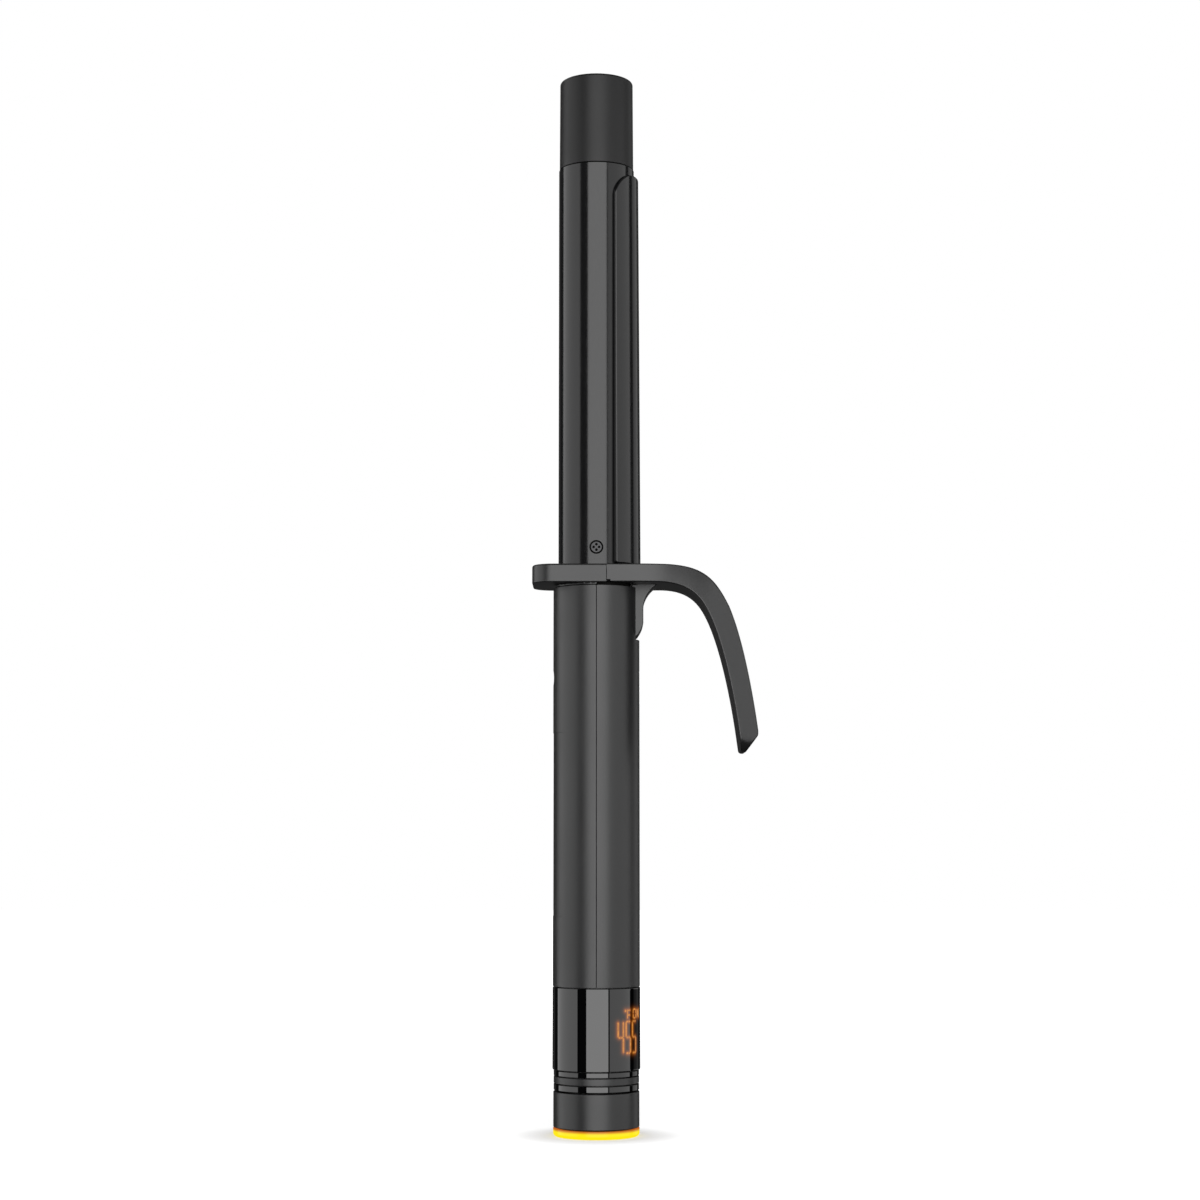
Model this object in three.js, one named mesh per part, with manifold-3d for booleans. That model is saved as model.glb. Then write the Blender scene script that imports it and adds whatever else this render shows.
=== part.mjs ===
// Curling iron: heated barrel, spring clamp with thumb lever, split handle,
// display sleeve, temperature dial, light ring and swivel cord gland.
// Millimetres. +Z runs up the barrel, the lever points to +X, the base stands on Z = 0.
import * as THREE from "three";
import { mergeVertices } from "three/addons/utils/BufferGeometryUtils.js";
import Module from "manifold-3d";

const wasm = await Module();
wasm.setup();

// ---- Driving dimensions -------------------------------------------------

const GAP = 0.3; // assembly clearance between neighbouring pieces
const HALF_GAP = GAP / 2;

// Barrel and tip
const BARREL_RADIUS = 12.7;
const BARREL_WALL = 1.0;
const BARREL_EXPOSED = 136.0; // from the guard's top to the tip
const TIP_LENGTH = 30.7;
const TIP_INSET = 0.2; // below the barrel's surface
const TIP_DRAFT = 0.15; // the tip is this much slimmer at its top
const TIP_EDGE = 0.5;
const TIP_WALL = 1.5;
const TIP_ROOF = 2.5;

// Handle, from the base up
const LIGHT_RING_HEIGHT = 2.6;
const DIAL_HEIGHT = 12.2;
const LOWER_BAND_HEIGHT = 2.2;
const MIDDLE_BAND_HEIGHT = 2.5;
const UPPER_BAND_HEIGHT = 1.9;
const SLEEVE_HEIGHT = 26.85;
const HANDLE_LENGTH = 131.35;
const HANDLE_RADIUS = 14.35;
const HANDLE_WALL = 1.7;
const SLEEVE_PROUD = 0.05; // display sleeve over the handle
const BAND_INSET = 0.35; // neck bands below the handle
const DIAL_INSET = 0.25;
const LIGHT_RING_INSET = 0.2;
const LIGHT_RING_EDGE = 1.1; // rounding of its lower edge

// Finger guard and lever
const GUARD_GROOVE = 1.0; // dark groove between handle and guard
const GUARD_THICKNESS = 6.1;
const GUARD_WALL = 1.4; // beside the barrel
const GUARD_REACH = 8.6; // behind the barrel
const GUARD_CORNER = 6.8;
const GUARD_SPLIT_X = 3.3; // where the fixed guard ends and the lever begins
const GUARD_LIP_HEIGHT = 0.7;
const GUARD_LIP_WIDTH = 0.85; // the ring under the guard, over the handle's rim
const GUARD_LIP_INSET = 0.5; // inside the handle's surface
const LEVER_REACH = 38.95; // beyond the handle
const LEVER_DROP = 61.9; // below the guard's top
const LEVER_BLADE_WIDTH = 22.0;
const LEVER_END_CORNER = 3.0;
const LEVER_RELIEF = 0.9; // room over the handle's rim when the lever swings

// Clamp
const CLAMP_GAP = 0.3;
const CLAMP_THICKNESS_TOP = 1.2;
const CLAMP_THICKNESS_BOTTOM = 1.8;
const CLAMP_HALF_ANGLE = THREE.MathUtils.degToRad(64.5);
const CLAMP_NECK_HALF_ANGLE = THREE.MathUtils.degToRad(40);
const CLAMP_BELOW_TIP = 2.5;
const CLAMP_ROUND = 5.9; // length of its rounded corners
const CLAMP_ROUND_WIDTH = 1.95; // their width, seen from +X
const RIVET_RADIUS = 1.2;
const RIVET_Y = 4.0;
const RIVET_LENGTH = 5.5;

// Pivot, web and return spring
const WEB_HALF_WIDTH = 5.75;
const WEB_FOOT = 16.7; // from the handle's top down to the web's foot
const PIVOT_INSET = 4.65; // pivot inside the handle's inner wall
const PIVOT_DEPTH = 5.1; // pivot below the handle's top
const PIN_RADIUS = 1.5;
const PIN_HALF_LENGTH = 7.6;
const SPRING_RADIUS = 2.6;
const SPRING_WIRE = 0.4;
const SPRING_HALF_WIDTH = 2.3;
const SPRING_TURNS = 3.25;
const SPRING_LEG = 6.5;
const SPRING_ARM = 3.4;

// Socket that carries the barrel
const SOCKET_DEPTH = 35.6; // below the handle's top
const SPIGOT_LENGTH = 22.0; // inside the barrel
const SLOT_FLOOR_X = 2.2;
const SLOT_LENGTH = 21.6;
const CABLE_BORE_X = -5.3;
const CABLE_BORE_RADIUS = 3.0;
const BARREL_SCREW_HEIGHT = 5.6; // above the guard
const SCREW_HEAD_RADIUS = 1.95;
const SCREW_HEAD_HEIGHT = 1.1;
const SCREW_SHANK_RADIUS = 1.2;
const SCREW_LENGTH = 7.0;

// Heater
const HEATER_START = 5.0; // above the spigot
const HEATER_BELOW_TIP = 18.65;
const CERAMIC_THICKNESS = 2.6;
const SENSOR_RADIUS = 1.1;
const SENSOR_MARGIN = 0.55; // from the core's rim, and from the ceramic
const LEAD_RADIUS = 0.7;
const LEAD_SPACING = 2.2;

// Lower core, dial bearing and swivel gland
const CORE_WALL = 1.3;
const NECK_WALL = 2.2; // the dial turns on this neck
const CORE_FLOOR = 1.4;
const CORE_OVERLAP = 7.6; // up inside the handle
const DIAL_FLANGE = 1.5;
const DETENT_LEAF = 0.35;
const DETENT_RING_HEIGHT = 7.3;
const DETENT_COUNT = 24;
const DETENT_RADIUS = 0.5;
const GLAND_BORE_RADIUS = 3.6;
const GLAND_RADIUS = 5.4;
const GLAND_COLLAR = 1.2; // the collar's step out from the gland
const HUB_WALL = 1.2;
const GLAND_BOTTOM = 0.8;
const GLAND_COLLAR_BOTTOM = 6.0;
const GLAND_COLLAR_TOP = 8.0;
const GLAND_TOP = 14.0;
const BASE_RECESS = 0.5; // base plate above the surface the iron stands on
const BASE_SCREW_COUNT = 3;
const BASE_SCREW_RADIUS = 0.6;
const BASE_SCREW_HEAD = 1.1;
const SLIP_RING_HEIGHT = 4.5;

// Display, boards and buttons
const PANEL_THICKNESS = 0.6;
const PANEL_HALF_ANGLE = THREE.MathUtils.degToRad(66);
const PANEL_MARGIN = 2.2;
const BOARD_THICKNESS = 1.6;
const BOARD_X = 5.6;
const BOARD_HALF_WIDTH = 9.0;
const BOARD_START = 9.5; // above the handle's lower end
const BOARD_BELOW_TOP = 24.7;
const DISPLAY_BOARD_HALF_WIDTH = 7.5;
const POWER_BUTTON_DEPTH = 30.3; // below the handle's top
const POWER_BUTTON_RADIUS = 2.5;
const UNIT_BUTTON_DEPTH = 36.1;
const UNIT_BUTTON_RADIUS = 2.2;
const BUTTON_WING = 0.5; // hook beyond the button's hole
const BUTTON_WING_THICKNESS = 0.8;
const BUTTON_INSET = 0.02; // below the handle's surface
const BUTTON_TRAVEL = 0.5;
const SWITCH_HALF_WIDTH = 2.2;
const SWITCH_HEIGHT = 1.5;

// Recesses in the back shell
const HANDLE_SCREW_DEPTH = 29.9; // below the handle's top
const HANDLE_SCREW_RECESS_RADIUS = 2.45;
const HANDLE_SCREW_SUNK = 1.2;
const HANDLE_SCREW_HEAD_HEIGHT = 0.7;
const HANDLE_SCREW_LENGTH = 4.6;
const LABEL_RISE = 23.05; // above the handle's lower end
const LABEL_BELOW_TOP = 48.2;
const LABEL_DEPTH = 0.12;
const LABEL_HALF_ANGLE = THREE.MathUtils.degToRad(46);

// Facets
const FINE = 48;
const MEDIUM = 24;
const COARSE = 12;
const WELD = 1e-4;
const BEYOND = 40; // how far a cutting tool runs past the piece it cuts

// ---- Derived heights and radii -------------------------------------------

const DIAL_Z = LIGHT_RING_HEIGHT;
const LOWER_BAND_Z = DIAL_Z + DIAL_HEIGHT;
const MIDDLE_BAND_Z = LOWER_BAND_Z + LOWER_BAND_HEIGHT;
const UPPER_BAND_Z = MIDDLE_BAND_Z + MIDDLE_BAND_HEIGHT;
const SLEEVE_Z = UPPER_BAND_Z + UPPER_BAND_HEIGHT;
const HANDLE_Z = SLEEVE_Z + SLEEVE_HEIGHT;
const HANDLE_TOP = HANDLE_Z + HANDLE_LENGTH;
const GUARD_Z = HANDLE_TOP + GUARD_GROOVE;
const GUARD_TOP = GUARD_Z + GUARD_THICKNESS;
const BARREL_Z = GUARD_Z + 1.5 * GAP;
const BARREL_TOP = GUARD_TOP + BARREL_EXPOSED;
const TIP_TOP = BARREL_TOP + TIP_LENGTH;
const BARREL_SCREW_Z = GUARD_TOP + BARREL_SCREW_HEIGHT;
const POWER_BUTTON_Z = HANDLE_TOP - POWER_BUTTON_DEPTH;
const UNIT_BUTTON_Z = HANDLE_TOP - UNIT_BUTTON_DEPTH;
const HANDLE_SCREW_Z = HANDLE_TOP - HANDLE_SCREW_DEPTH;

const HANDLE_INNER = HANDLE_RADIUS - HANDLE_WALL;
const BARREL_INNER = BARREL_RADIUS - BARREL_WALL;
const INSIDE_BARREL = BARREL_INNER - GAP;
const TIP_RADIUS = BARREL_RADIUS - TIP_INSET;
const SENSOR_X = INSIDE_BARREL - SENSOR_RADIUS - SENSOR_MARGIN;
const CERAMIC_HALF_WIDTH = SENSOR_X - SENSOR_RADIUS - SENSOR_MARGIN;
const INSIDE_HANDLE = HANDLE_INNER - GAP;
const GUARD_BORE = BARREL_RADIUS + GAP;
const GUARD_HALF_WIDTH = BARREL_RADIUS + GUARD_WALL;
const GUARD_BACK = -(BARREL_RADIUS + GUARD_REACH);
const CLAMP_INNER = BARREL_RADIUS + CLAMP_GAP;
const CLAMP_OUTER_TOP = CLAMP_INNER + CLAMP_THICKNESS_TOP;
const CLAMP_OUTER_BOTTOM = CLAMP_INNER + CLAMP_THICKNESS_BOTTOM;
const POCKET_RADIUS = CLAMP_OUTER_BOTTOM + GAP;
const CLAMP_NECK_Z = GUARD_Z + LEVER_RELIEF + GAP;
const CLAMP_TOP = BARREL_TOP - CLAMP_BELOW_TIP;
const PIVOT_X = HANDLE_INNER - PIVOT_INSET;
const PIVOT_Z = HANDLE_TOP - PIVOT_DEPTH;
const WEB_FOOT_Z = HANDLE_TOP - WEB_FOOT;
const SLOT_HALF_WIDTH = WEB_HALF_WIDTH + GAP;
const SPIGOT_TOP = BARREL_Z + SPIGOT_LENGTH;
const HEATER_Z = SPIGOT_TOP + HEATER_START;
const HEATER_TOP = BARREL_TOP - HEATER_BELOW_TIP;
const CORE_RADIUS = HANDLE_INNER - GAP;
const CORE_TOP = HANDLE_Z + CORE_OVERLAP;
const BAND_INNER = CORE_RADIUS + GAP;
const CORE_BOTTOM = DIAL_Z + 2 * GAP;
const CORE_FLOOR_Z = LOWER_BAND_Z + GAP;
const GLAND_HOLE = GLAND_RADIUS + GAP;
const GLAND_COLLAR_RADIUS = GLAND_RADIUS + GLAND_COLLAR;
const HUB_RADIUS = GLAND_HOLE + HUB_WALL;
const NECK_INNER = HUB_RADIUS + GAP;
const NECK_RADIUS = NECK_INNER + NECK_WALL;
const BOARD_Z = HANDLE_Z + BOARD_START;
const BOARD_TOP = HANDLE_TOP - BOARD_BELOW_TOP;
const SWITCH_X = BOARD_X + BOARD_THICKNESS + GAP;

// ---- Finishes --------------------------------------------------------------

function finish(color, roughness, metalness = 0) {
  return new THREE.MeshStandardMaterial({ color, roughness, metalness });
}

const SATIN_BLACK = finish(0x2b2b2c, 0.45);
const GLOSS_BLACK = finish(0x08080a, 0.05);
const BARREL_BLACK = finish(0x1c1c1e, 0.2, 0.6);
const TIP_BLACK = finish(0x242425, 0.6);
const LIGHT_YELLOW = finish(0xffe61c, 0.4);
const AMBER = finish(0xe8952e, 0.4);
const STEEL = finish(0xb4b6ba, 0.3, 1);
const DARK_STEEL = finish(0x2a2a2c, 0.35, 1);
const ALUMINIUM = finish(0xc9cbd0, 0.4, 1);
const CERAMIC = finish(0xe9e4d8, 0.7);
const INSULATOR = finish(0x4a443c, 0.7);
const BOARD_GREEN = finish(0x1f5a34, 0.5);
const COPPER_RED = finish(0xa03a28, 0.5);

// ---- Shape helpers -----------------------------------------------------------

// A closed three.js geometry as a solid that can be joined and cut.
function solidFrom(geometry) {
  const loose = geometry.index ? geometry.toNonIndexed() : geometry;
  const bare = new THREE.BufferGeometry();
  bare.setAttribute("position", loose.getAttribute("position"));
  const welded = mergeVertices(bare, WELD);
  return new wasm.Manifold(
    new wasm.Mesh({
      numProp: 3,
      vertProperties: welded.attributes.position.array,
      triVerts: new Uint32Array(welded.index.array),
    }),
  );
}

function geometryFrom(solid) {
  const mesh = solid.getMesh();
  const geometry = new THREE.BufferGeometry();
  geometry.setAttribute("position", new THREE.BufferAttribute(mesh.vertProperties, 3));
  geometry.setIndex(new THREE.BufferAttribute(mesh.triVerts, 1));
  geometry.computeVertexNormals();
  return geometry;
}

// A profile of [radius, height] points turned about the Z axis.
function revolve(profile, segments) {
  const points = profile.map(([radius, height]) => new THREE.Vector2(radius, height));
  return solidFrom(new THREE.LatheGeometry(points, segments).rotateX(Math.PI / 2));
}

function tube(inner, outer, bottom, top, segments = FINE) {
  const corners = [[inner, bottom], [outer, bottom], [outer, top], [inner, top], [inner, bottom]];
  return revolve(corners, segments);
}

function disc(radius, bottom, top, segments = FINE) {
  return revolve([[0, bottom], [radius, bottom], [radius, top], [0, top]], segments);
}

function block(x0, x1, y0, y1, z0, z1) {
  const geometry = new THREE.BoxGeometry(x1 - x0, y1 - y0, z1 - z0);
  return solidFrom(geometry.translate((x0 + x1) / 2, (y0 + y1) / 2, (z0 + z1) / 2));
}

function rodX(radius, x0, x1, y, z, segments = COARSE) {
  const geometry = new THREE.CylinderGeometry(radius, radius, x1 - x0, segments);
  return solidFrom(geometry.rotateZ(Math.PI / 2).translate((x0 + x1) / 2, y, z));
}

function rodY(radius, y0, y1, x, z, segments = COARSE) {
  const geometry = new THREE.CylinderGeometry(radius, radius, y1 - y0, segments);
  return solidFrom(geometry.translate(x, (y0 + y1) / 2, z));
}

function rodZ(radius, z0, z1, x, y, segments = COARSE) {
  const geometry = new THREE.CylinderGeometry(radius, radius, z1 - z0, segments);
  return solidFrom(geometry.rotateX(Math.PI / 2).translate(x, y, (z0 + z1) / 2));
}

// An outline drawn as (x, z) and given a thickness along Y.
function prismY(outline, halfWidth, curveSegments = 6) {
  const options = { depth: 2 * halfWidth, bevelEnabled: false, curveSegments };
  const geometry = new THREE.ExtrudeGeometry(outline, options);
  return solidFrom(geometry.translate(0, 0, -halfWidth).rotateX(Math.PI / 2));
}

// An outline drawn as (x, y) and raised along Z.
function prismZ(outline, bottom, top, curveSegments = 6) {
  const options = { depth: top - bottom, bevelEnabled: false, curveSegments };
  return solidFrom(new THREE.ExtrudeGeometry(outline, options).translate(0, 0, bottom));
}

// An outline drawn as (y, z) and given a length along X.
function prismX(outline, x0, x1, curveSegments = 10) {
  const options = { depth: x1 - x0, bevelEnabled: false, curveSegments };
  const geometry = new THREE.ExtrudeGeometry(outline, options);
  return solidFrom(geometry.rotateX(Math.PI / 2).rotateZ(Math.PI / 2).translate(x0, 0, 0));
}

// A wedge with its edge on the Z axis, opening by halfAngle each side of a direction.
function wedge(halfAngle, bottom, top, direction = 0) {
  const start = direction - halfAngle;
  const shape = new THREE.Shape();
  shape.moveTo(0, 0);
  shape.lineTo(BEYOND * Math.cos(start), BEYOND * Math.sin(start));
  shape.absarc(0, 0, BEYOND, start, direction + halfAngle, false);
  shape.closePath();
  return prismZ(shape, bottom, top);
}

// A round wire of the given radius along a curve.
function wire(curve, radius, steps) {
  const section = new THREE.Shape().absarc(0, 0, radius, 0, 2 * Math.PI, false);
  const options = { steps, extrudePath: curve, curveSegments: 4 };
  return solidFrom(new THREE.ExtrudeGeometry(section, options));
}

// ---- The assembly ----------------------------------------------------------------

const iron = new THREE.Group();

function addPiece(name, solid, material) {
  const mesh = new THREE.Mesh(geometryFrom(solid), material);
  mesh.name = name;
  iron.add(mesh);
}

// ---- Base: light ring, base plate and swivel gland -------------------------------

function lightRing() {
  const outer = HANDLE_RADIUS - LIGHT_RING_INSET;
  const inner = NECK_RADIUS + GAP;
  const seatRadius = CORE_RADIUS + GAP;
  const seatHeight = LIGHT_RING_HEIGHT / 2;
  const profile = [[inner, 0], [outer - LIGHT_RING_EDGE, 0]];
  const roundSteps = 3;
  for (let step = 1; step <= roundSteps; step++) {
    const turn = ((step / roundSteps) * Math.PI) / 2;
    const radius = outer - LIGHT_RING_EDGE * (1 - Math.sin(turn));
    profile.push([radius, LIGHT_RING_EDGE * (1 - Math.cos(turn))]);
  }
  profile.push([outer, LIGHT_RING_HEIGHT], [seatRadius, LIGHT_RING_HEIGHT]);
  profile.push([seatRadius, seatHeight], [inner, seatHeight], [inner, 0]);
  return revolve(profile, FINE);
}

function ledBoard() {
  const inner = NECK_RADIUS + 2 * GAP;
  return tube(inner, CORE_RADIUS, LIGHT_RING_HEIGHT / 2 + GAP, LIGHT_RING_HEIGHT, MEDIUM);
}

const BASE_PLATE_TOP = CORE_BOTTOM - GAP;
const BASE_SCREW_CIRCLE = NECK_RADIUS - NECK_WALL / 2;

function baseScrewPlace(index) {
  const angle = ((index + 0.5) / BASE_SCREW_COUNT) * 2 * Math.PI;
  return [BASE_SCREW_CIRCLE * Math.cos(angle), BASE_SCREW_CIRCLE * Math.sin(angle)];
}

const BASE_SCREW_HEAD_Z = BASE_RECESS + 0.1;
const BASE_SCREW_HEAD_TOP = BASE_SCREW_HEAD_Z + 0.8;
const BASE_SCREW_TOP = BASE_SCREW_HEAD_TOP + 5;

function basePlate() {
  const hubTop = GLAND_COLLAR_BOTTOM - GAP;
  let plate = revolve(
    [
      [GLAND_HOLE, BASE_RECESS],
      [NECK_RADIUS, BASE_RECESS],
      [NECK_RADIUS, BASE_PLATE_TOP],
      [HUB_RADIUS, BASE_PLATE_TOP],
      [HUB_RADIUS, hubTop],
      [GLAND_HOLE, hubTop],
      [GLAND_HOLE, BASE_RECESS],
    ],
    FINE,
  );
  for (let index = 0; index < BASE_SCREW_COUNT; index++) {
    const [x, y] = baseScrewPlace(index);
    const counterbore = rodZ(BASE_SCREW_HEAD + GAP, -1, BASE_SCREW_HEAD_TOP + GAP, x, y);
    plate = plate.subtract(counterbore).subtract(rodZ(BASE_SCREW_RADIUS + GAP, -1, BEYOND, x, y));
  }
  return plate;
}

function baseScrew(index) {
  const [x, y] = baseScrewPlace(index);
  const head = rodZ(BASE_SCREW_HEAD, BASE_SCREW_HEAD_Z, BASE_SCREW_HEAD_TOP, x, y);
  return head.add(rodZ(BASE_SCREW_RADIUS, BASE_SCREW_HEAD_Z, BASE_SCREW_TOP, x, y));
}

function cordGland() {
  return revolve(
    [
      [GLAND_BORE_RADIUS, GLAND_BOTTOM],
      [GLAND_RADIUS, GLAND_BOTTOM],
      [GLAND_RADIUS, GLAND_COLLAR_BOTTOM],
      [GLAND_COLLAR_RADIUS, GLAND_COLLAR_BOTTOM],
      [GLAND_COLLAR_RADIUS, GLAND_COLLAR_TOP],
      [GLAND_RADIUS, GLAND_COLLAR_TOP],
      [GLAND_RADIUS, GLAND_TOP],
      [GLAND_BORE_RADIUS, GLAND_TOP],
      [GLAND_BORE_RADIUS, GLAND_BOTTOM],
    ],
    MEDIUM,
  );
}

function glandBush() {
  return tube(GLAND_HOLE, HUB_RADIUS, GLAND_COLLAR_TOP + GAP, GLAND_TOP - GAP, MEDIUM);
}

const SLIP_RING_Z = GLAND_TOP + 4 * GAP;

function slipRingBlock() {
  return disc(HUB_RADIUS, SLIP_RING_Z, SLIP_RING_Z + SLIP_RING_HEIGHT, MEDIUM);
}

// ---- Core and dial -----------------------------------------------------------------

function core() {
  const wallInner = CORE_RADIUS - CORE_WALL;
  const body = revolve(
    [
      [NECK_INNER, CORE_BOTTOM],
      [NECK_RADIUS, CORE_BOTTOM],
      [NECK_RADIUS, CORE_FLOOR_Z],
      [CORE_RADIUS, CORE_FLOOR_Z],
      [CORE_RADIUS, CORE_TOP],
      [wallInner, CORE_TOP],
      [wallInner, CORE_FLOOR_Z + CORE_FLOOR],
      [NECK_INNER, CORE_FLOOR_Z + CORE_FLOOR],
      [NECK_INNER, CORE_BOTTOM],
    ],
    FINE,
  );
  const windowBottom = SLEEVE_Z + PANEL_MARGIN - GAP;
  const windowTop = HANDLE_Z - PANEL_MARGIN + GAP;
  const window = wedge(PANEL_HALF_ANGLE + GAP / CORE_RADIUS, windowBottom, windowTop);
  let opened = body.subtract(window);
  for (let index = 0; index < BASE_SCREW_COUNT; index++) {
    const [x, y] = baseScrewPlace(index);
    opened = opened.subtract(rodZ(BASE_SCREW_RADIUS + GAP, 0, BASE_SCREW_TOP + GAP, x, y));
  }
  return opened;
}

const DIAL_BOTTOM = DIAL_Z + GAP;
const DIAL_TOP = LOWER_BAND_Z - GAP;

function dial() {
  const outer = HANDLE_RADIUS - DIAL_INSET;
  const flangeInner = NECK_RADIUS + GAP;
  return revolve(
    [
      [flangeInner, DIAL_BOTTOM],
      [outer, DIAL_BOTTOM],
      [outer, DIAL_TOP],
      [BAND_INNER, DIAL_TOP],
      [BAND_INNER, DIAL_BOTTOM + DIAL_FLANGE],
      [flangeInner, DIAL_BOTTOM + DIAL_FLANGE],
      [flangeInner, DIAL_BOTTOM],
    ],
    FINE,
  );
}

const DETENT_Z = DIAL_BOTTOM + DIAL_FLANGE + GAP;
const DETENT_INNER = NECK_RADIUS + 2 * GAP + DETENT_LEAF;

function detentRing() {
  let ring = tube(DETENT_INNER, CORE_RADIUS, DETENT_Z, DETENT_Z + DETENT_RING_HEIGHT);
  for (let index = 0; index < DETENT_COUNT; index++) {
    const angle = (index / DETENT_COUNT) * 2 * Math.PI;
    const x = DETENT_INNER * Math.cos(angle);
    const y = DETENT_INNER * Math.sin(angle);
    ring = ring.subtract(rodZ(DETENT_RADIUS, 0, BEYOND, x, y, 6));
  }
  return ring;
}

function detentSpring() {
  const leaf = tube(NECK_RADIUS + GAP, DETENT_INNER - GAP, DETENT_Z + 2, DETENT_Z + 5);
  return leaf.intersect(wedge(Math.PI / 5, 0, BEYOND, Math.PI));
}

// ---- Neck bands and display ------------------------------------------------------------

function neckBand(bottom, top) {
  return tube(BAND_INNER, HANDLE_RADIUS - BAND_INSET, bottom + HALF_GAP, top - HALF_GAP);
}

function displaySleeve() {
  const outer = HANDLE_RADIUS + SLEEVE_PROUD;
  return tube(BAND_INNER, outer, SLEEVE_Z + HALF_GAP, HANDLE_Z - HALF_GAP);
}

const PANEL_Z = SLEEVE_Z + PANEL_MARGIN;
const PANEL_TOP = HANDLE_Z - PANEL_MARGIN;

function displayPanel() {
  const shell = tube(CORE_RADIUS - PANEL_THICKNESS, CORE_RADIUS, PANEL_Z, PANEL_TOP);
  return shell.intersect(wedge(PANEL_HALF_ANGLE, PANEL_Z - 1, PANEL_TOP + 1));
}

function displayBoard() {
  const halfWidth = DISPLAY_BOARD_HALF_WIDTH;
  return block(BOARD_X, BOARD_X + BOARD_THICKNESS, -halfWidth, halfWidth, PANEL_Z, CORE_TOP - 6);
}

function ribbonCable() {
  const thickness = 0.3;
  const halfWidth = 4;
  const x = BOARD_X + thickness;
  return block(x, x + thickness, -halfWidth, halfWidth, CORE_TOP - 6 + GAP, BOARD_Z - GAP);
}

function supplyLead(side) {
  const x = BOARD_X - GAP - LEAD_RADIUS;
  const bottom = SLIP_RING_Z + SLIP_RING_HEIGHT + GAP;
  return rodZ(LEAD_RADIUS, bottom, SUPPLY_LEAD_TOP, x, side * LEAD_SPACING, 8);
}

// ---- Handle shells, board and buttons ----------------------------------------------------

function handleTube() {
  return tube(HANDLE_INNER, HANDLE_RADIUS, HANDLE_Z + HALF_GAP, HANDLE_TOP);
}

function handleBack() {
  const half = block(-BEYOND, -HALF_GAP, -BEYOND, BEYOND, 0, TIP_TOP);
  const z = HANDLE_SCREW_Z;
  const recess = rodX(HANDLE_SCREW_RECESS_RADIUS, -BEYOND, HANDLE_SCREW_SEAT_X, 0, z, MEDIUM);
  const hole = rodX(SCREW_SHANK_RADIUS + GAP, -BEYOND, 0, 0, z);
  const labelBottom = HANDLE_Z + LABEL_RISE;
  const labelTop = HANDLE_TOP - LABEL_BELOW_TOP;
  const labelShell = tube(HANDLE_RADIUS - LABEL_DEPTH, BEYOND, labelBottom, labelTop);
  const label = labelShell.intersect(wedge(LABEL_HALF_ANGLE, 0, TIP_TOP, Math.PI));
  return handleTube().intersect(half).subtract(recess).subtract(hole).subtract(label);
}

function handleFront() {
  const half = block(HALF_GAP, BEYOND, -BEYOND, BEYOND, 0, TIP_TOP);
  const slotBottom = WEB_FOOT_Z - 2 * GAP;
  const slot = block(0, BEYOND, -SLOT_HALF_WIDTH, SLOT_HALF_WIDTH, slotBottom, TIP_TOP);
  const powerHole = rodX(POWER_BUTTON_RADIUS + GAP, 0, BEYOND, 0, POWER_BUTTON_Z, MEDIUM);
  const unitHole = rodX(UNIT_BUTTON_RADIUS + GAP, 0, BEYOND, 0, UNIT_BUTTON_Z, MEDIUM);
  return handleTube().intersect(half).subtract(slot).subtract(powerHole).subtract(unitHole);
}

const HANDLE_SCREW_SEAT_X = -(HANDLE_RADIUS - HANDLE_SCREW_SUNK);
const HANDLE_SCREW_HEAD_X = HANDLE_SCREW_SEAT_X - HALF_GAP - HANDLE_SCREW_HEAD_HEIGHT;
const HANDLE_SCREW_END_X = HANDLE_SCREW_HEAD_X + HANDLE_SCREW_LENGTH;

function handleScrew() {
  const z = HANDLE_SCREW_Z;
  const underHead = HANDLE_SCREW_HEAD_X + HANDLE_SCREW_HEAD_HEIGHT;
  const cap = rodX(SCREW_HEAD_RADIUS, HANDLE_SCREW_HEAD_X, underHead, 0, z, MEDIUM);
  return cap.add(rodX(SCREW_SHANK_RADIUS, HANDLE_SCREW_HEAD_X, HANDLE_SCREW_END_X, 0, z));
}

function mainBoard() {
  const halfWidth = BOARD_HALF_WIDTH;
  return block(BOARD_X, BOARD_X + BOARD_THICKNESS, -halfWidth, halfWidth, BOARD_Z, BOARD_TOP);
}

// A rounded cap that follows the handle, with two wings that keep it inside the shell.
function button(radius, height) {
  const stemX = SWITCH_X + SWITCH_HEIGHT + BUTTON_TRAVEL + HALF_GAP;
  const reach = radius + GAP + BUTTON_WING;
  const wingTop = Math.sqrt(HANDLE_INNER ** 2 - reach ** 2) - GAP;
  const wingBottom = wingTop - BUTTON_WING_THICKNESS;
  const cap = rodX(radius, stemX, BEYOND, 0, height, MEDIUM);
  const flush = disc(HANDLE_RADIUS - BUTTON_INSET, height - radius, height + radius, 2 * FINE);
  const z = radius / 2;
  return cap.intersect(flush).add(block(wingBottom, wingTop, -reach, reach, height - z, height + z));
}

function tactSwitch(height) {
  const w = SWITCH_HALF_WIDTH;
  return block(SWITCH_X, SWITCH_X + SWITCH_HEIGHT, -w, w, height - w, height + w);
}

// Large parts stand on the back of the main board, one above the other.
const BEHIND_BOARD = BOARD_X - GAP;
const SUPPLY_LEAD_TOP = BOARD_Z + 6;
const INDUCTOR_RADIUS = 5.0;
const INDUCTOR_Z = SUPPLY_LEAD_TOP + GAP + INDUCTOR_RADIUS;
const CAPACITOR_RADIUS = 4.2;
const CAPACITOR_Z = INDUCTOR_Z + INDUCTOR_RADIUS + 1 + CAPACITOR_RADIUS;
const TRIAC_HALF_WIDTH = 5.0;
const TRIAC_Z = CAPACITOR_Z + CAPACITOR_RADIUS + 1;
const TRIAC_TOP = TRIAC_Z + 14;

function powerInductor() {
  return rodX(INDUCTOR_RADIUS, BEHIND_BOARD - 7, BEHIND_BOARD, 0, INDUCTOR_Z, MEDIUM);
}

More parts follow.
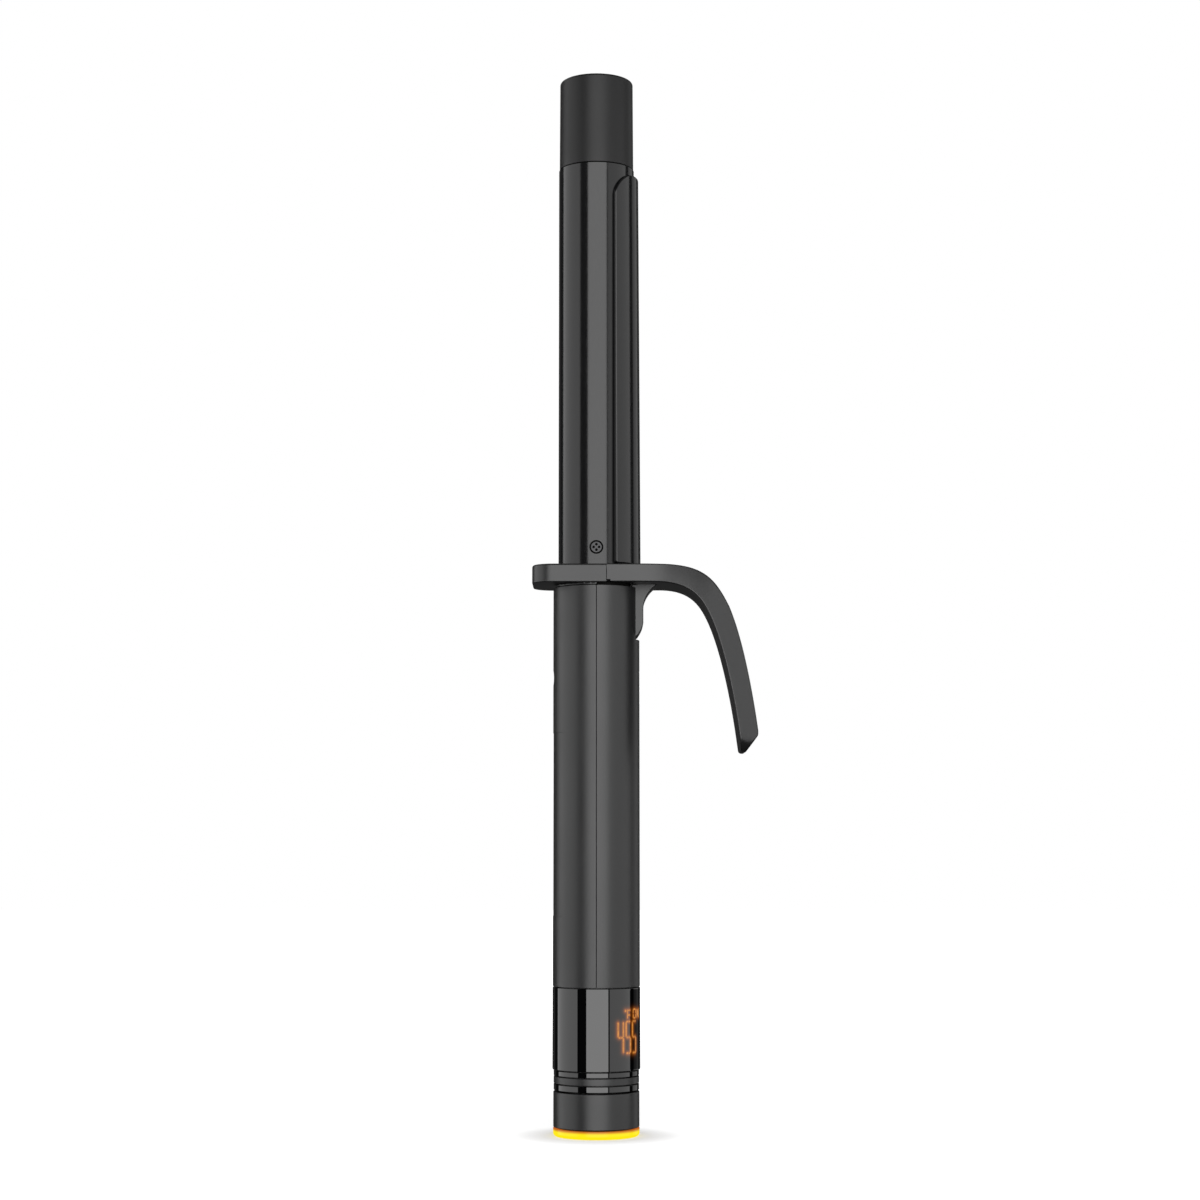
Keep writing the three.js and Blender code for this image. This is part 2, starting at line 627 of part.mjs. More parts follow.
function powerCapacitor() {
  return rodX(CAPACITOR_RADIUS, BEHIND_BOARD - 11, BEHIND_BOARD, 0, CAPACITOR_Z, MEDIUM);
}

function triacModule() {
  const w = TRIAC_HALF_WIDTH;
  return block(BEHIND_BOARD - 4.5, BEHIND_BOARD, -w, w, TRIAC_Z, TRIAC_TOP);
}

// ---- Socket, barrel and heater -----------------------------------------------------------

const SOCKET_Z = HANDLE_TOP - SOCKET_DEPTH;
const SOCKET_BODY_TOP = BARREL_Z - GAP;

function socketBody() {
  const slotBottom = HANDLE_TOP - SLOT_LENGTH;
  const w = SLOT_HALF_WIDTH;
  const webSlot = block(SLOT_FLOOR_X, BEYOND, -w, w, slotBottom, SOCKET_BODY_TOP);
  const boardX = BOARD_X - 5 * GAP;
  const boardRoom = block(boardX, BEYOND, -BEYOND, BEYOND, 0, BOARD_TOP + 2);
  const pinHole = rodY(PIN_RADIUS + GAP, -BEYOND, BEYOND, PIVOT_X, PIVOT_Z, MEDIUM);
  const underGuard = GUARD_Z - GUARD_LIP_HEIGHT - GAP;
  const neck = disc(Math.min(INSIDE_HANDLE, BARREL_RADIUS), underGuard, SOCKET_BODY_TOP);
  const lower = disc(INSIDE_HANDLE, SOCKET_Z, underGuard).add(neck);
  const cut = lower.subtract(webSlot).subtract(boardRoom).subtract(pinHole);
  return cut.add(disc(INSIDE_BARREL, SOCKET_BODY_TOP, SPIGOT_TOP));
}

function socket() {
  const cable = rodZ(CABLE_BORE_RADIUS, 0, TIP_TOP, CABLE_BORE_X, 0, MEDIUM);
  const pilot = SCREW_SHANK_RADIUS + GAP;
  const depth = SCREW_LENGTH + 1;
  const front = rodY(pilot, -BEYOND, depth - BARREL_INNER, 0, BARREL_SCREW_Z);
  const back = rodY(pilot, BARREL_INNER - depth, BEYOND, 0, BARREL_SCREW_Z);
  const side = rodX(pilot, -BEYOND, HANDLE_SCREW_END_X + GAP, 0, HANDLE_SCREW_Z);
  return socketBody().subtract(cable).subtract(front).subtract(back).subtract(side);
}

function barrel() {
  const wall = tube(BARREL_INNER, BARREL_RADIUS, BARREL_Z, BARREL_TOP - HALF_GAP);
  const hole = SCREW_HEAD_RADIUS + GAP;
  return wall.subtract(rodY(hole, -BEYOND, BEYOND, 0, BARREL_SCREW_Z, MEDIUM));
}

// side is -1 for the near screw and +1 for the far one.
function barrelScrew(side) {
  const face = BARREL_RADIUS - 0.05;
  const under = face - SCREW_HEAD_HEIGHT;
  const x = 0;
  const z = BARREL_SCREW_Z;
  const span = (from, to) => [Math.min(side * from, side * to), Math.max(side * from, side * to)];
  const head = rodY(SCREW_HEAD_RADIUS, ...span(under, face), x, z, MEDIUM);
  return head.add(rodY(SCREW_SHANK_RADIUS, ...span(face - SCREW_LENGTH, under + 0.2), x, z));
}

function heaterCore(side) {
  const round = disc(INSIDE_BARREL, HEATER_Z, HEATER_TOP);
  const flat = side * (CERAMIC_THICKNESS / 2 + GAP);
  const keep = side < 0 ? [-BEYOND, flat] : [flat, BEYOND];
  return round.intersect(block(-BEYOND, BEYOND, ...keep, 0, TIP_TOP));
}

function heaterCeramic() {
  const w = CERAMIC_HALF_WIDTH;
  const t = CERAMIC_THICKNESS / 2;
  return block(-w, w, -t, t, HEATER_Z + 4, HEATER_TOP - 4);
}

function heaterLead(side) {
  const x = CABLE_BORE_X + (side * LEAD_SPACING) / 2;
  const y = 4 * side;
  const route = [
    [x, 0, HEATER_Z + 4 - GAP],
    [x, 0, HANDLE_TOP],
    [x, 0, SOCKET_Z + 2],
    [x + 2, y / 2, SOCKET_Z - 5],
    [BEHIND_BOARD - LEAD_RADIUS, y, SOCKET_Z - 12],
    [BEHIND_BOARD - LEAD_RADIUS, y, SOCKET_Z - 17],
  ];
  const curve = new THREE.CatmullRomCurve3(route.map((point) => new THREE.Vector3(...point)));
  return wire(curve, LEAD_RADIUS, 30);
}

// ---- Tip ---------------------------------------------------------------------------------

function coolTip() {
  const bottom = BARREL_TOP + HALF_GAP;
  const inner = TIP_RADIUS - TIP_WALL;
  const topRadius = TIP_RADIUS - TIP_DRAFT;
  return revolve(
    [
      [0, TIP_TOP - TIP_ROOF],
      [inner, TIP_TOP - TIP_ROOF],
      [inner, bottom],
      [TIP_RADIUS, bottom],
      [topRadius, TIP_TOP - TIP_EDGE],
      [topRadius - TIP_EDGE, TIP_TOP],
      [0, TIP_TOP],
    ],
    FINE,
  );
}

const TIP_PLUG_TOP = TIP_TOP - TIP_ROOF - 6;

function tipPlug() {
  const hole = SCREW_SHANK_RADIUS + GAP;
  const lower = INSIDE_BARREL;
  const upper = Math.min(TIP_RADIUS - TIP_WALL, BARREL_INNER) - GAP;
  const bottom = HEATER_TOP + 4;
  const step = BARREL_TOP - GAP;
  return revolve(
    [
      [hole, bottom],
      [lower, bottom],
      [lower, step],
      [upper, step],
      [upper, TIP_PLUG_TOP],
      [hole, TIP_PLUG_TOP],
      [hole, bottom],
    ],
    MEDIUM,
  );
}

function tipScrew() {
  const head = disc(2 * SCREW_SHANK_RADIUS, TIP_PLUG_TOP + GAP, TIP_PLUG_TOP + 2.5, COARSE);
  return head.add(disc(SCREW_SHANK_RADIUS, TIP_PLUG_TOP - 20, TIP_PLUG_TOP + 1, COARSE));
}

// ---- Guard, clamp and lever ----------------------------------------------------------------

function guard() {
  const w = GUARD_HALF_WIDTH;
  const c = GUARD_CORNER;
  const end = GUARD_SPLIT_X - HALF_GAP;
  const plan = new THREE.Shape();
  plan.moveTo(end, -w);
  plan.lineTo(end, w);
  plan.lineTo(GUARD_BACK + c, w);
  plan.absarc(GUARD_BACK + c, w - c, c, Math.PI / 2, Math.PI, false);
  plan.lineTo(GUARD_BACK, c - w);
  plan.absarc(GUARD_BACK + c, c - w, c, Math.PI, 1.5 * Math.PI, false);
  plan.closePath();
  const lipOuter = Math.max(GUARD_BORE + HALF_GAP, HANDLE_RADIUS - GUARD_LIP_INSET);
  const lipInner = Math.min(GUARD_BORE, HANDLE_RADIUS - GUARD_LIP_INSET - GUARD_LIP_WIDTH);
  const behind = block(-BEYOND, 0, -BEYOND, BEYOND, 0, TIP_TOP);
  const lip = disc(lipOuter, GUARD_Z - GUARD_LIP_HEIGHT, GUARD_Z + GAP).intersect(behind);
  const plate = prismZ(plan, GUARD_Z, GUARD_TOP).add(lip);
  return plate.subtract(disc(GUARD_BORE, GUARD_Z, TIP_TOP)).subtract(disc(lipInner, 0, TIP_TOP));
}

function clampShell() {
  const bottom = CLAMP_NECK_Z;
  const top = CLAMP_TOP;
  return revolve(
    [
      [CLAMP_INNER, bottom],
      [CLAMP_OUTER_BOTTOM, bottom],
      [CLAMP_OUTER_TOP, top],
      [CLAMP_INNER, top],
      [CLAMP_INNER, bottom],
    ],
    FINE,
  );
}

// The clamp seen from +X, with the rounded corners of its upper end.
function clampFrontView() {
  const roundStart = CLAMP_TOP - CLAMP_ROUND;
  const share = CLAMP_ROUND / (CLAMP_TOP - CLAMP_NECK_Z);
  const outer = CLAMP_OUTER_TOP + (CLAMP_OUTER_BOTTOM - CLAMP_OUTER_TOP) * share;
  const w = outer * Math.sin(CLAMP_HALF_ANGLE);
  const flat = w - CLAMP_ROUND_WIDTH;
  const view = new THREE.Shape();
  view.moveTo(-2 * w, 0);
  view.lineTo(2 * w, 0);
  view.lineTo(2 * w, roundStart);
  view.lineTo(w, roundStart);
  view.absellipse(flat, roundStart, CLAMP_ROUND_WIDTH, CLAMP_ROUND, 0, Math.PI / 2, false, 0);
  view.absellipse(-flat, roundStart, CLAMP_ROUND_WIDTH, CLAMP_ROUND, Math.PI / 2, Math.PI, false, 0);
  view.lineTo(-2 * w, roundStart);
  view.closePath();
  return prismX(view, 0, BEYOND);
}

function rivetHoles(solid) {
  const z = (CLAMP_NECK_Z + GUARD_TOP) / 2;
  const hole = (y) => rodX(RIVET_RADIUS + GAP, 0, BARREL_RADIUS + RIVET_LENGTH + 1, y, z);
  return solid.subtract(hole(RIVET_Y)).subtract(hole(-RIVET_Y));
}

function clampPlate() {
  const shoulder = GUARD_TOP + GAP;
  const wide = wedge(CLAMP_HALF_ANGLE, shoulder, TIP_TOP);
  const neck = wedge(CLAMP_NECK_HALF_ANGLE, 0, shoulder + 1);
  return rivetHoles(clampShell().intersect(wide.add(neck)).intersect(clampFrontView()));
}

function clampRivet(side) {
  const x = BARREL_RADIUS + GAP;
  const z = (CLAMP_NECK_Z + GUARD_TOP) / 2;
  return rodX(RIVET_RADIUS, x, x + RIVET_LENGTH, side * RIVET_Y, z);
}

// The lever seen from the side: a flat collar, a round bend and a blade cut off at a slant.
function leverSideView() {
  const x = HANDLE_RADIUS;
  const end = HANDLE_RADIUS + LEVER_REACH;
  const tip = GUARD_TOP - LEVER_DROP;
  const view = new THREE.Shape();
  view.moveTo(GUARD_SPLIT_X + HALF_GAP, GUARD_Z);
  view.lineTo(x + 6, GUARD_Z);
  view.bezierCurveTo(x + 15.2, GUARD_Z, x + 19.3, GUARD_Z - 3.4, x + 22.1, GUARD_Z - 8.7);
  view.bezierCurveTo(end - 11.2, GUARD_Z - 19.1, end - 7.4, tip + 14.6, end - 6.0, tip + 3.3);
  view.quadraticCurveTo(end - 5.7, tip, end - 4.6, tip);
  view.lineTo(end - 0.3, tip + 5.4);
  view.quadraticCurveTo(end, tip + 5.9, end, tip + 7.2);
  view.bezierCurveTo(end - 1.6, tip + 18.9, end - 4.7, GUARD_TOP - 24.6, x + 29.6, GUARD_TOP - 13.5);
  view.bezierCurveTo(x + 24.3, GUARD_TOP - 2.7, x + 20.1, GUARD_TOP, x + 7.7, GUARD_TOP);
  view.lineTo(GUARD_SPLIT_X + HALF_GAP, GUARD_TOP);
  view.closePath();
  return prismY(view, GUARD_HALF_WIDTH);
}

// The lever seen from above narrows from the guard's width to the blade's.
function leverPlan() {
  const w = GUARD_HALF_WIDTH;
  const blade = LEVER_BLADE_WIDTH / 2;
  const x = HANDLE_RADIUS;
  const end = x + LEVER_REACH + 1;
  const plan = new THREE.Shape();
  plan.moveTo(0, -w);
  plan.lineTo(x, -w);
  plan.bezierCurveTo(x + 8, -w, x + 12, -blade, x + 22, -blade);
  plan.lineTo(end, -blade);
  plan.lineTo(end, blade);
  plan.lineTo(x + 22, blade);
  plan.bezierCurveTo(x + 12, blade, x + 8, w, x, w);
  plan.lineTo(0, w);
  plan.closePath();
  return prismZ(plan, 0, TIP_TOP);
}

// Rounds the two lower corners of the blade.
function leverFrontView() {
  const w = GUARD_HALF_WIDTH + 1;
  const blade = LEVER_BLADE_WIDTH / 2;
  const c = LEVER_END_CORNER;
  const tip = GUARD_TOP - LEVER_DROP;
  const view = new THREE.Shape();
  view.moveTo(c - blade, tip);
  view.lineTo(blade - c, tip);
  view.absarc(blade - c, tip + c, c, -Math.PI / 2, 0, false);
  view.lineTo(blade, HANDLE_TOP - 20);
  view.lineTo(w, HANDLE_TOP - 10);
  view.lineTo(w, TIP_TOP);
  view.lineTo(-w, TIP_TOP);
  view.lineTo(-w, HANDLE_TOP - 10);
  view.lineTo(-blade, HANDLE_TOP - 20);
  view.absarc(c - blade, tip + c, c, Math.PI, 1.5 * Math.PI, false);
  view.closePath();
  return prismX(view, 0, 2 * BEYOND);
}

// The web under the lever, which reaches through the handle's slot to the pivot.
function webSideView() {
  const x = HANDLE_RADIUS;
  const inner = HANDLE_INNER;
  const foot = WEB_FOOT_Z;
  const underBarrel = GUARD_Z - 0.7;
  const underNeck = CLAMP_NECK_Z - GAP;
  const view = new THREE.Shape();
  view.moveTo(PIVOT_X - 3, underBarrel);
  view.lineTo(PIVOT_X - 3, foot + 7);
  view.lineTo(PIVOT_X + 1, foot);
  view.lineTo(inner - 0.4, foot);
  view.lineTo(x - 0.7, foot + 0.6);
  view.quadraticCurveTo(x + 1.1, foot + 3.2, x + 1.25, foot + 5);
  view.lineTo(x + 1.25, foot + 9.5);
  view.bezierCurveTo(x + 1.3, foot + 13, x + 3.3, GUARD_Z - 1.2, x + 6.5, GUARD_Z + 0.2);
  view.lineTo(x + 6.5, GUARD_Z + 2);
  view.lineTo(POCKET_RADIUS, GUARD_Z + 2);
  view.lineTo(POCKET_RADIUS, underNeck);
  view.lineTo(BARREL_RADIUS + 2 * GAP, underNeck);
  view.lineTo(BARREL_RADIUS + 2 * GAP, underBarrel);
  view.closePath();
  return prismY(view, WEB_HALF_WIDTH);
}

function lever() {
  const z = TIP_TOP;
  const fork = disc(GUARD_BORE + 0.1, 0, z);
  const pocketAngle = CLAMP_NECK_HALF_ANGLE + (2 * GAP) / CLAMP_INNER;
  const pocket = disc(POCKET_RADIUS, 0, z).intersect(wedge(pocketAngle, 0, z));
  const rim = Math.max(HANDLE_RADIUS, GUARD_BORE) + 0.5;
  const relief = disc(rim, 0, GUARD_Z + LEVER_RELIEF);
  const plate = leverSideView().intersect(leverPlan()).intersect(leverFrontView());
  const collar = plate.subtract(fork).subtract(pocket).subtract(relief);
  const room = SPRING_RADIUS + SPRING_WIRE + GAP;
  const side = SPRING_HALF_WIDTH + SPRING_WIRE + GAP;
  const roomEnd = PIVOT_X + SPRING_ARM + 2 * GAP;
  const roomBottom = PIVOT_Z - SPRING_LEG - GAP;
  const springRoom = block(0, roomEnd, -side, side, roomBottom, PIVOT_Z + room);
  const pinHole = rodY(PIN_RADIUS + GAP, -BEYOND, BEYOND, PIVOT_X, PIVOT_Z, MEDIUM);
  return rivetHoles(collar.add(webSideView()).subtract(springRoom).subtract(pinHole));
}

function pivotPin() {
  return rodY(PIN_RADIUS, -PIN_HALF_LENGTH, PIN_HALF_LENGTH, PIVOT_X, PIVOT_Z, MEDIUM);
}

// A leg up to the coil, the coil round the pin, and an arm out to the lever.
class TorsionSpringPath extends THREE.Curve {
  getPoint(share, target = new THREE.Vector3()) {
    const coil = 2 * Math.PI * SPRING_RADIUS * SPRING_TURNS;
    const travel = share * (SPRING_LEG + coil + SPRING_ARM);
    const onCoil = THREE.MathUtils.clamp(travel - SPRING_LEG, 0, coil);
    const angle = Math.PI - onCoil / SPRING_RADIUS;
    const leg = Math.min(travel - SPRING_LEG, 0);
    const arm = Math.max(travel - SPRING_LEG - coil, 0);
    return target.set(
      PIVOT_X + SPRING_RADIUS * Math.cos(angle) + arm,
      SPRING_HALF_WIDTH * ((2 * onCoil) / coil - 1),
      PIVOT_Z + SPRING_RADIUS * Math.sin(angle) + leg,
    );
  }
}

// ---- Put it together -------------------------------------------------------------------------

addPiece("light_ring", lightRing(), LIGHT_YELLOW);
addPiece("led_board", ledBoard(), BOARD_GREEN);
addPiece("base_plate", basePlate(), SATIN_BLACK);
for (let index = 0; index < BASE_SCREW_COUNT; index++) {
  addPiece(`base_screw_${index + 1}`, baseScrew(index), STEEL);
}
addPiece("cord_gland", cordGland(), SATIN_BLACK);
addPiece("gland_bush", glandBush(), STEEL);
addPiece("slip_ring_block", slipRingBlock(), INSULATOR);

addPiece("core", core(), SATIN_BLACK);
addPiece("dial", dial(), SATIN_BLACK);
addPiece("detent_ring", detentRing(), INSULATOR);
addPiece("detent_spring", detentSpring(), STEEL);
addPiece("neck_band_lower", neckBand(LOWER_BAND_Z, MIDDLE_BAND_Z), GLOSS_BLACK);
addPiece("neck_band_middle", neckBand(MIDDLE_BAND_Z, UPPER_BAND_Z), SATIN_BLACK);
addPiece("neck_band_upper", neckBand(UPPER_BAND_Z, SLEEVE_Z), GLOSS_BLACK);
addPiece("display_sleeve", displaySleeve(), GLOSS_BLACK);
addPiece("display_panel", displayPanel(), AMBER);
addPiece("display_board", displayBoard(), BOARD_GREEN);
addPiece("ribbon_cable", ribbonCable(), INSULATOR);
addPiece("supply_lead_live", supplyLead(-1), COPPER_RED);
addPiece("supply_lead_neutral", supplyLead(1), COPPER_RED);

addPiece("handle_back", handleBack(), SATIN_BLACK);
addPiece("handle_front", handleFront(), SATIN_BLACK);
addPiece("handle_screw", handleScrew(), DARK_STEEL);
addPiece("main_board", mainBoard(), BOARD_GREEN);
addPiece("power_capacitor", powerCapacitor(), INSULATOR);
addPiece("triac_module", triacModule(), GLOSS_BLACK);
addPiece("power_inductor", powerInductor(), COPPER_RED);
addPiece("power_button", button(POWER_BUTTON_RADIUS, POWER_BUTTON_Z), SATIN_BLACK);
addPiece("unit_button", button(UNIT_BUTTON_RADIUS, UNIT_BUTTON_Z), SATIN_BLACK);
addPiece("power_switch", tactSwitch(POWER_BUTTON_Z), STEEL);
addPiece("unit_switch", tactSwitch(UNIT_BUTTON_Z), STEEL);

addPiece("barrel_socket", socket(), INSULATOR);
addPiece("barrel", barrel(), BARREL_BLACK);
addPiece("barrel_screw_near", barrelScrew(-1), DARK_STEEL);
addPiece("barrel_screw_far", barrelScrew(1), DARK_STEEL);
addPiece("heater_core_near", heaterCore(-1), ALUMINIUM);
addPiece("heater_core_far", heaterCore(1), ALUMINIUM);
addPiece("heater_ceramic", heaterCeramic(), CERAMIC);
addPiece("thermistor", rodZ(SENSOR_RADIUS, HEATER_Z + 7, HEATER_Z + 14, SENSOR_X, 0), CERAMIC);
addPiece("thermal_fuse", rodZ(SENSOR_RADIUS, HEATER_Z + 6, HEATER_Z + 18, -SENSOR_X, 0), STEEL);
addPiece("heater_lead_live", heaterLead(-1), COPPER_RED);
addPiece("heater_lead_neutral", heaterLead(1), COPPER_RED);
addPiece("tip_plug", tipPlug(), INSULATOR);
addPiece("tip_screw", tipScrew(), STEEL);
addPiece("cool_tip", coolTip(), TIP_BLACK);

addPiece("finger_guard", guard(), SATIN_BLACK);
addPiece("clamp_plate", clampPlate(), BARREL_BLACK);
addPiece("clamp_rivet_near", clampRivet(-1), STEEL);
addPiece("clamp_rivet_far", clampRivet(1), STEEL);
addPiece("thumb_lever", lever(), SATIN_BLACK);
addPiece("pivot_pin", pivotPin(), STEEL);
addPiece("return_spring", wire(new TorsionSpringPath(), SPRING_WIRE, 54), STEEL);

// The origin is the middle of the whole object's footprint, on the surface it stands on.
const extent = new THREE.Box3().setFromObject(iron);
iron.position.x = -(extent.min.x + extent.max.x) / 2;

const assembly = new THREE.Group();
assembly.add(iron);
export default assembly;
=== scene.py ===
"""A curling iron: its visible pieces, their finishes and the studio it stands in."""
import math

import bpy
import numpy as np
from bpy.props import FloatProperty, FloatVectorProperty, IntProperty, PointerProperty, StringProperty
from mathutils import Matrix, Vector
from mathutils.geometry import delaunay_2d_cdt


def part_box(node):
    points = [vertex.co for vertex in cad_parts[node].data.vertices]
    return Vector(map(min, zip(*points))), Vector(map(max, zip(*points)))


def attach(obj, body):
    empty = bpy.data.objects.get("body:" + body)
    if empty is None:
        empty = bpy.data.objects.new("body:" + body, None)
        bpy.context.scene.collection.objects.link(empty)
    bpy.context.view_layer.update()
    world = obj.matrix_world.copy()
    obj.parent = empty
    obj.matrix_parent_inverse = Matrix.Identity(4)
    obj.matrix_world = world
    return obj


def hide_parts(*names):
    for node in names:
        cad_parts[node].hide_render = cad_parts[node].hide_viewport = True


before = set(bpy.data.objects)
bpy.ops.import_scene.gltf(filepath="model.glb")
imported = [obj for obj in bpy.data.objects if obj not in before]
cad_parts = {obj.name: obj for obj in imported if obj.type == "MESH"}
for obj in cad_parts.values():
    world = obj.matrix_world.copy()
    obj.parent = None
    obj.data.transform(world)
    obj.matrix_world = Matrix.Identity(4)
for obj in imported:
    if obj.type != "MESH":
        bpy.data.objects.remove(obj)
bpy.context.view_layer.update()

bl_info = {
    "name": "Curling Iron",
    "version": (1, 0, 0),
    "blender": (4, 5, 0),
    "location": "3D View > Sidebar > Curling Iron",
    "description": "Builds the curling iron's pieces, finishes and studio",
    "category": "Object",
}

MM = 0.001
HOLD = 0.12
FINE_ROUND = 192
SMALL_ROUND = 48
CREASE = math.radians(32)
CUT_CREASE = math.radians(50)

# ---- Places and sizes taken from the frame, in millimetres from the barrel's axis ------------


def corners(node):
    """The lowest and highest corner of a CAD node, measured from the barrel's axis."""
    low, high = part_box(node)
    shift = Vector((AXIS_X, 0.0, 0.0))
    return low / MM - shift, high / MM - shift


def heights(node):
    low, high = corners(node)
    return low.z, high.z


def radius_of(node):
    low, high = corners(node)
    return (high.y - low.y) / 2


TIP_LOW, TIP_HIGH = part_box("cool_tip")
AXIS_X = (TIP_LOW.x + TIP_HIGH.x) / 2 / MM
HANDLE_RADIUS = radius_of("handle_back")
BARREL_RADIUS = radius_of("barrel")
HANDLE_TOP = heights("handle_back")[1]
GUARD_BOTTOM = HANDLE_TOP + 1.0
GUARD_TOP = heights("thumb_lever")[1]
CUT_BELOW, CUT_ABOVE = GUARD_BOTTOM - 30, 400.0


def length(name, description, millimetres):
    """A length that a user may change, with its default in millimetres."""
    return FloatProperty(
        name=name, description=description, default=millimetres * MM, min=0.0, precision=5, unit="LENGTH"
    )


def tint(name, description, colour):
    """A linear colour that a user may change."""
    return FloatVectorProperty(
        name=name, description=description, default=colour, min=0.0, max=1.0, size=3, subtype="COLOR"
    )


# ---- Flat outlines ---------------------------------------------------------------------------


def rounded(points, steps=6):
    """A closed outline through points (u, v, radius), each corner rounded to its radius."""
    outline = []
    for index, (u, v, radius) in enumerate(points):
        here = np.array((u, v), float)
        if radius <= 0:
            outline.append(here)
            continue
        back = np.array(points[index - 1][:2], float) - here
        ahead = np.array(points[(index + 1) % len(points)][:2], float) - here
        back /= np.linalg.norm(back)
        ahead /= np.linalg.norm(ahead)
        half = math.acos(float(np.clip(back @ ahead, -1, 1))) / 2
        middle = (back + ahead) / np.linalg.norm(back + ahead)
        centre = here + middle * radius / math.sin(half)
        start = here + back * radius / math.tan(half) - centre
        end = here + ahead * radius / math.tan(half) - centre
        first = math.atan2(start[1], start[0])
        turn = (math.atan2(end[1], end[0]) - first + math.pi) % (2 * math.pi) - math.pi
        for step in range(steps + 1):
            angle = first + turn * step / steps
            outline.append(centre + radius * np.array((math.cos(angle), math.sin(angle))))
    return np.array(outline)


def circle(u, v, radius, count, clockwise=False):
    angles = np.arange(count) / count * 2 * math.pi * (-1 if clockwise else 1)
    return np.stack([u + radius * np.cos(angles), v + radius * np.sin(angles)], 1)


def curve(points, steps):
    """Points along a Bezier curve, its first point left out."""
    points = np.array(points, float)
    shares = (np.arange(steps) + 1) / steps
    degree = len(points) - 1
    total = 0
    for index, point in enumerate(points):
        weight = math.comb(degree, index) * shares**index * (1 - shares) ** (degree - index)
        total = total + weight[:, None] * point
    return total


def divided(loop, step):
    """The closed loop with its long edges divided, so that it can follow a curved face."""
    out = []
    for here, there in zip(loop, np.roll(loop, -1, 0)):
        count = max(1, math.ceil(np.linalg.norm(there - here) / step))
        out.extend(here + (there - here) * index / count for index in range(count))
    return np.array(out)


def outward(loop):
    """The normals of a closed loop whose inside is on its left, the longer edge counting for more."""
    ahead = np.roll(loop, -1, 0) - loop
    right = np.stack([ahead[:, 1], -ahead[:, 0]], 1)
    total = right + np.roll(right, 1, 0)
    return total / np.linalg.norm(total, axis=1)[:, None]


def moved_in(loop, inset):
    """The loop moved to its left by the same distance everywhere."""
    ahead = np.roll(loop, -1, 0) - loop
    left = np.stack([-ahead[:, 1], ahead[:, 0]], 1)
    left /= np.linalg.norm(left, axis=1)[:, None]
    before = np.roll(left, 1, 0)
    total = left + before
    share = 1 + (left * before).sum(1)
    return loop + total * (inset / np.maximum(share, 0.3))[:, None]


def inside(points, loops):
    """Which points lie inside the region that the closed loops bound."""
    hit = np.zeros(len(points), bool)
    for loop in loops:
        start, end = loop, np.roll(loop, -1, 0)
        for (x0, y0), (x1, y1) in zip(start, end):
            if y0 == y1:
                continue
            crosses = (points[:, 1] > y0) != (points[:, 1] > y1)
            x = x0 + (points[:, 1] - y0) / (y1 - y0) * (x1 - x0)
            hit ^= crosses & (points[:, 0] < x)
    return hit


def clear_of(points, loops, distance):
    """Which points keep the distance from every edge of the loops."""
    keep = np.ones(len(points), bool)
    for loop in loops:
        for start, end in zip(loop, np.roll(loop, -1, 0)):
            along = end - start
            share = ((points - start) @ along) / max(along @ along, 1e-12)
            nearest = start + np.clip(share, 0, 1)[:, None] * along
            keep &= ((points - nearest) ** 2).sum(1) > distance**2
    return keep


def filled(loops, grid):
    """Triangles that fill the region between the loops, and the points added inside it."""
    every = np.concatenate(loops)
    low, high = every.min(0), every.max(0)
    us = np.arange(low[0] + grid[0] / 2, high[0], grid[0])
    vs = np.arange(low[1] + grid[1] / 2, high[1], grid[1])
    spots = np.stack(np.meshgrid(us, vs), -1).reshape(-1, 2)
    spots = spots[inside(spots, loops)]
    spots = spots[clear_of(spots, loops, 0.4 * min(grid))]
    edges, start = [], 0
    for loop in loops:
        count = len(loop)
        edges += [(start + index, start + (index + 1) % count) for index in range(count)]
        start += count
    points = np.concatenate([every, spots])
    made = delaunay_2d_cdt([Vector(point) for point in points.tolist()], edges, [], 0, 1e-7)
    if len(made[0]) != len(points):
        raise RuntimeError("an outline crosses itself")
    origin = [sources[0] for sources in made[3]]
    triangles = np.array([[origin[corner] for corner in face] for face in made[2]])
    middles = points[triangles].mean(1)
    triangles = triangles[inside(middles, loops)]
    a, b, c = points[triangles[:, 0]], points[triangles[:, 1]], points[triangles[:, 2]]
    turn = (b[:, 0] - a[:, 0]) * (c[:, 1] - a[:, 1]) - (b[:, 1] - a[:, 1]) * (c[:, 0] - a[:, 0])
    triangles[turn < 0] = triangles[turn < 0][:, ::-1]
    return spots, triangles


# ---- Meshes ----------------------------------------------------------------------------------


def new_piece(name, points, faces, normals=None):
    """A mesh object from points in millimetres about the barrel's axis."""
    mesh = bpy.data.meshes.new(name)
    placed = (np.asarray(points, float) + (AXIS_X, 0.0, 0.0)) * MM
    mesh.from_pydata(placed.tolist(), [], faces)
    mesh.shade_smooth()
    mesh.update()
    if normals is not None:
        mesh.normals_split_custom_set_from_vertices(np.asarray(normals).tolist())
    piece = bpy.data.objects.new(name, mesh)
    bpy.context.scene.collection.objects.link(piece)
    return piece


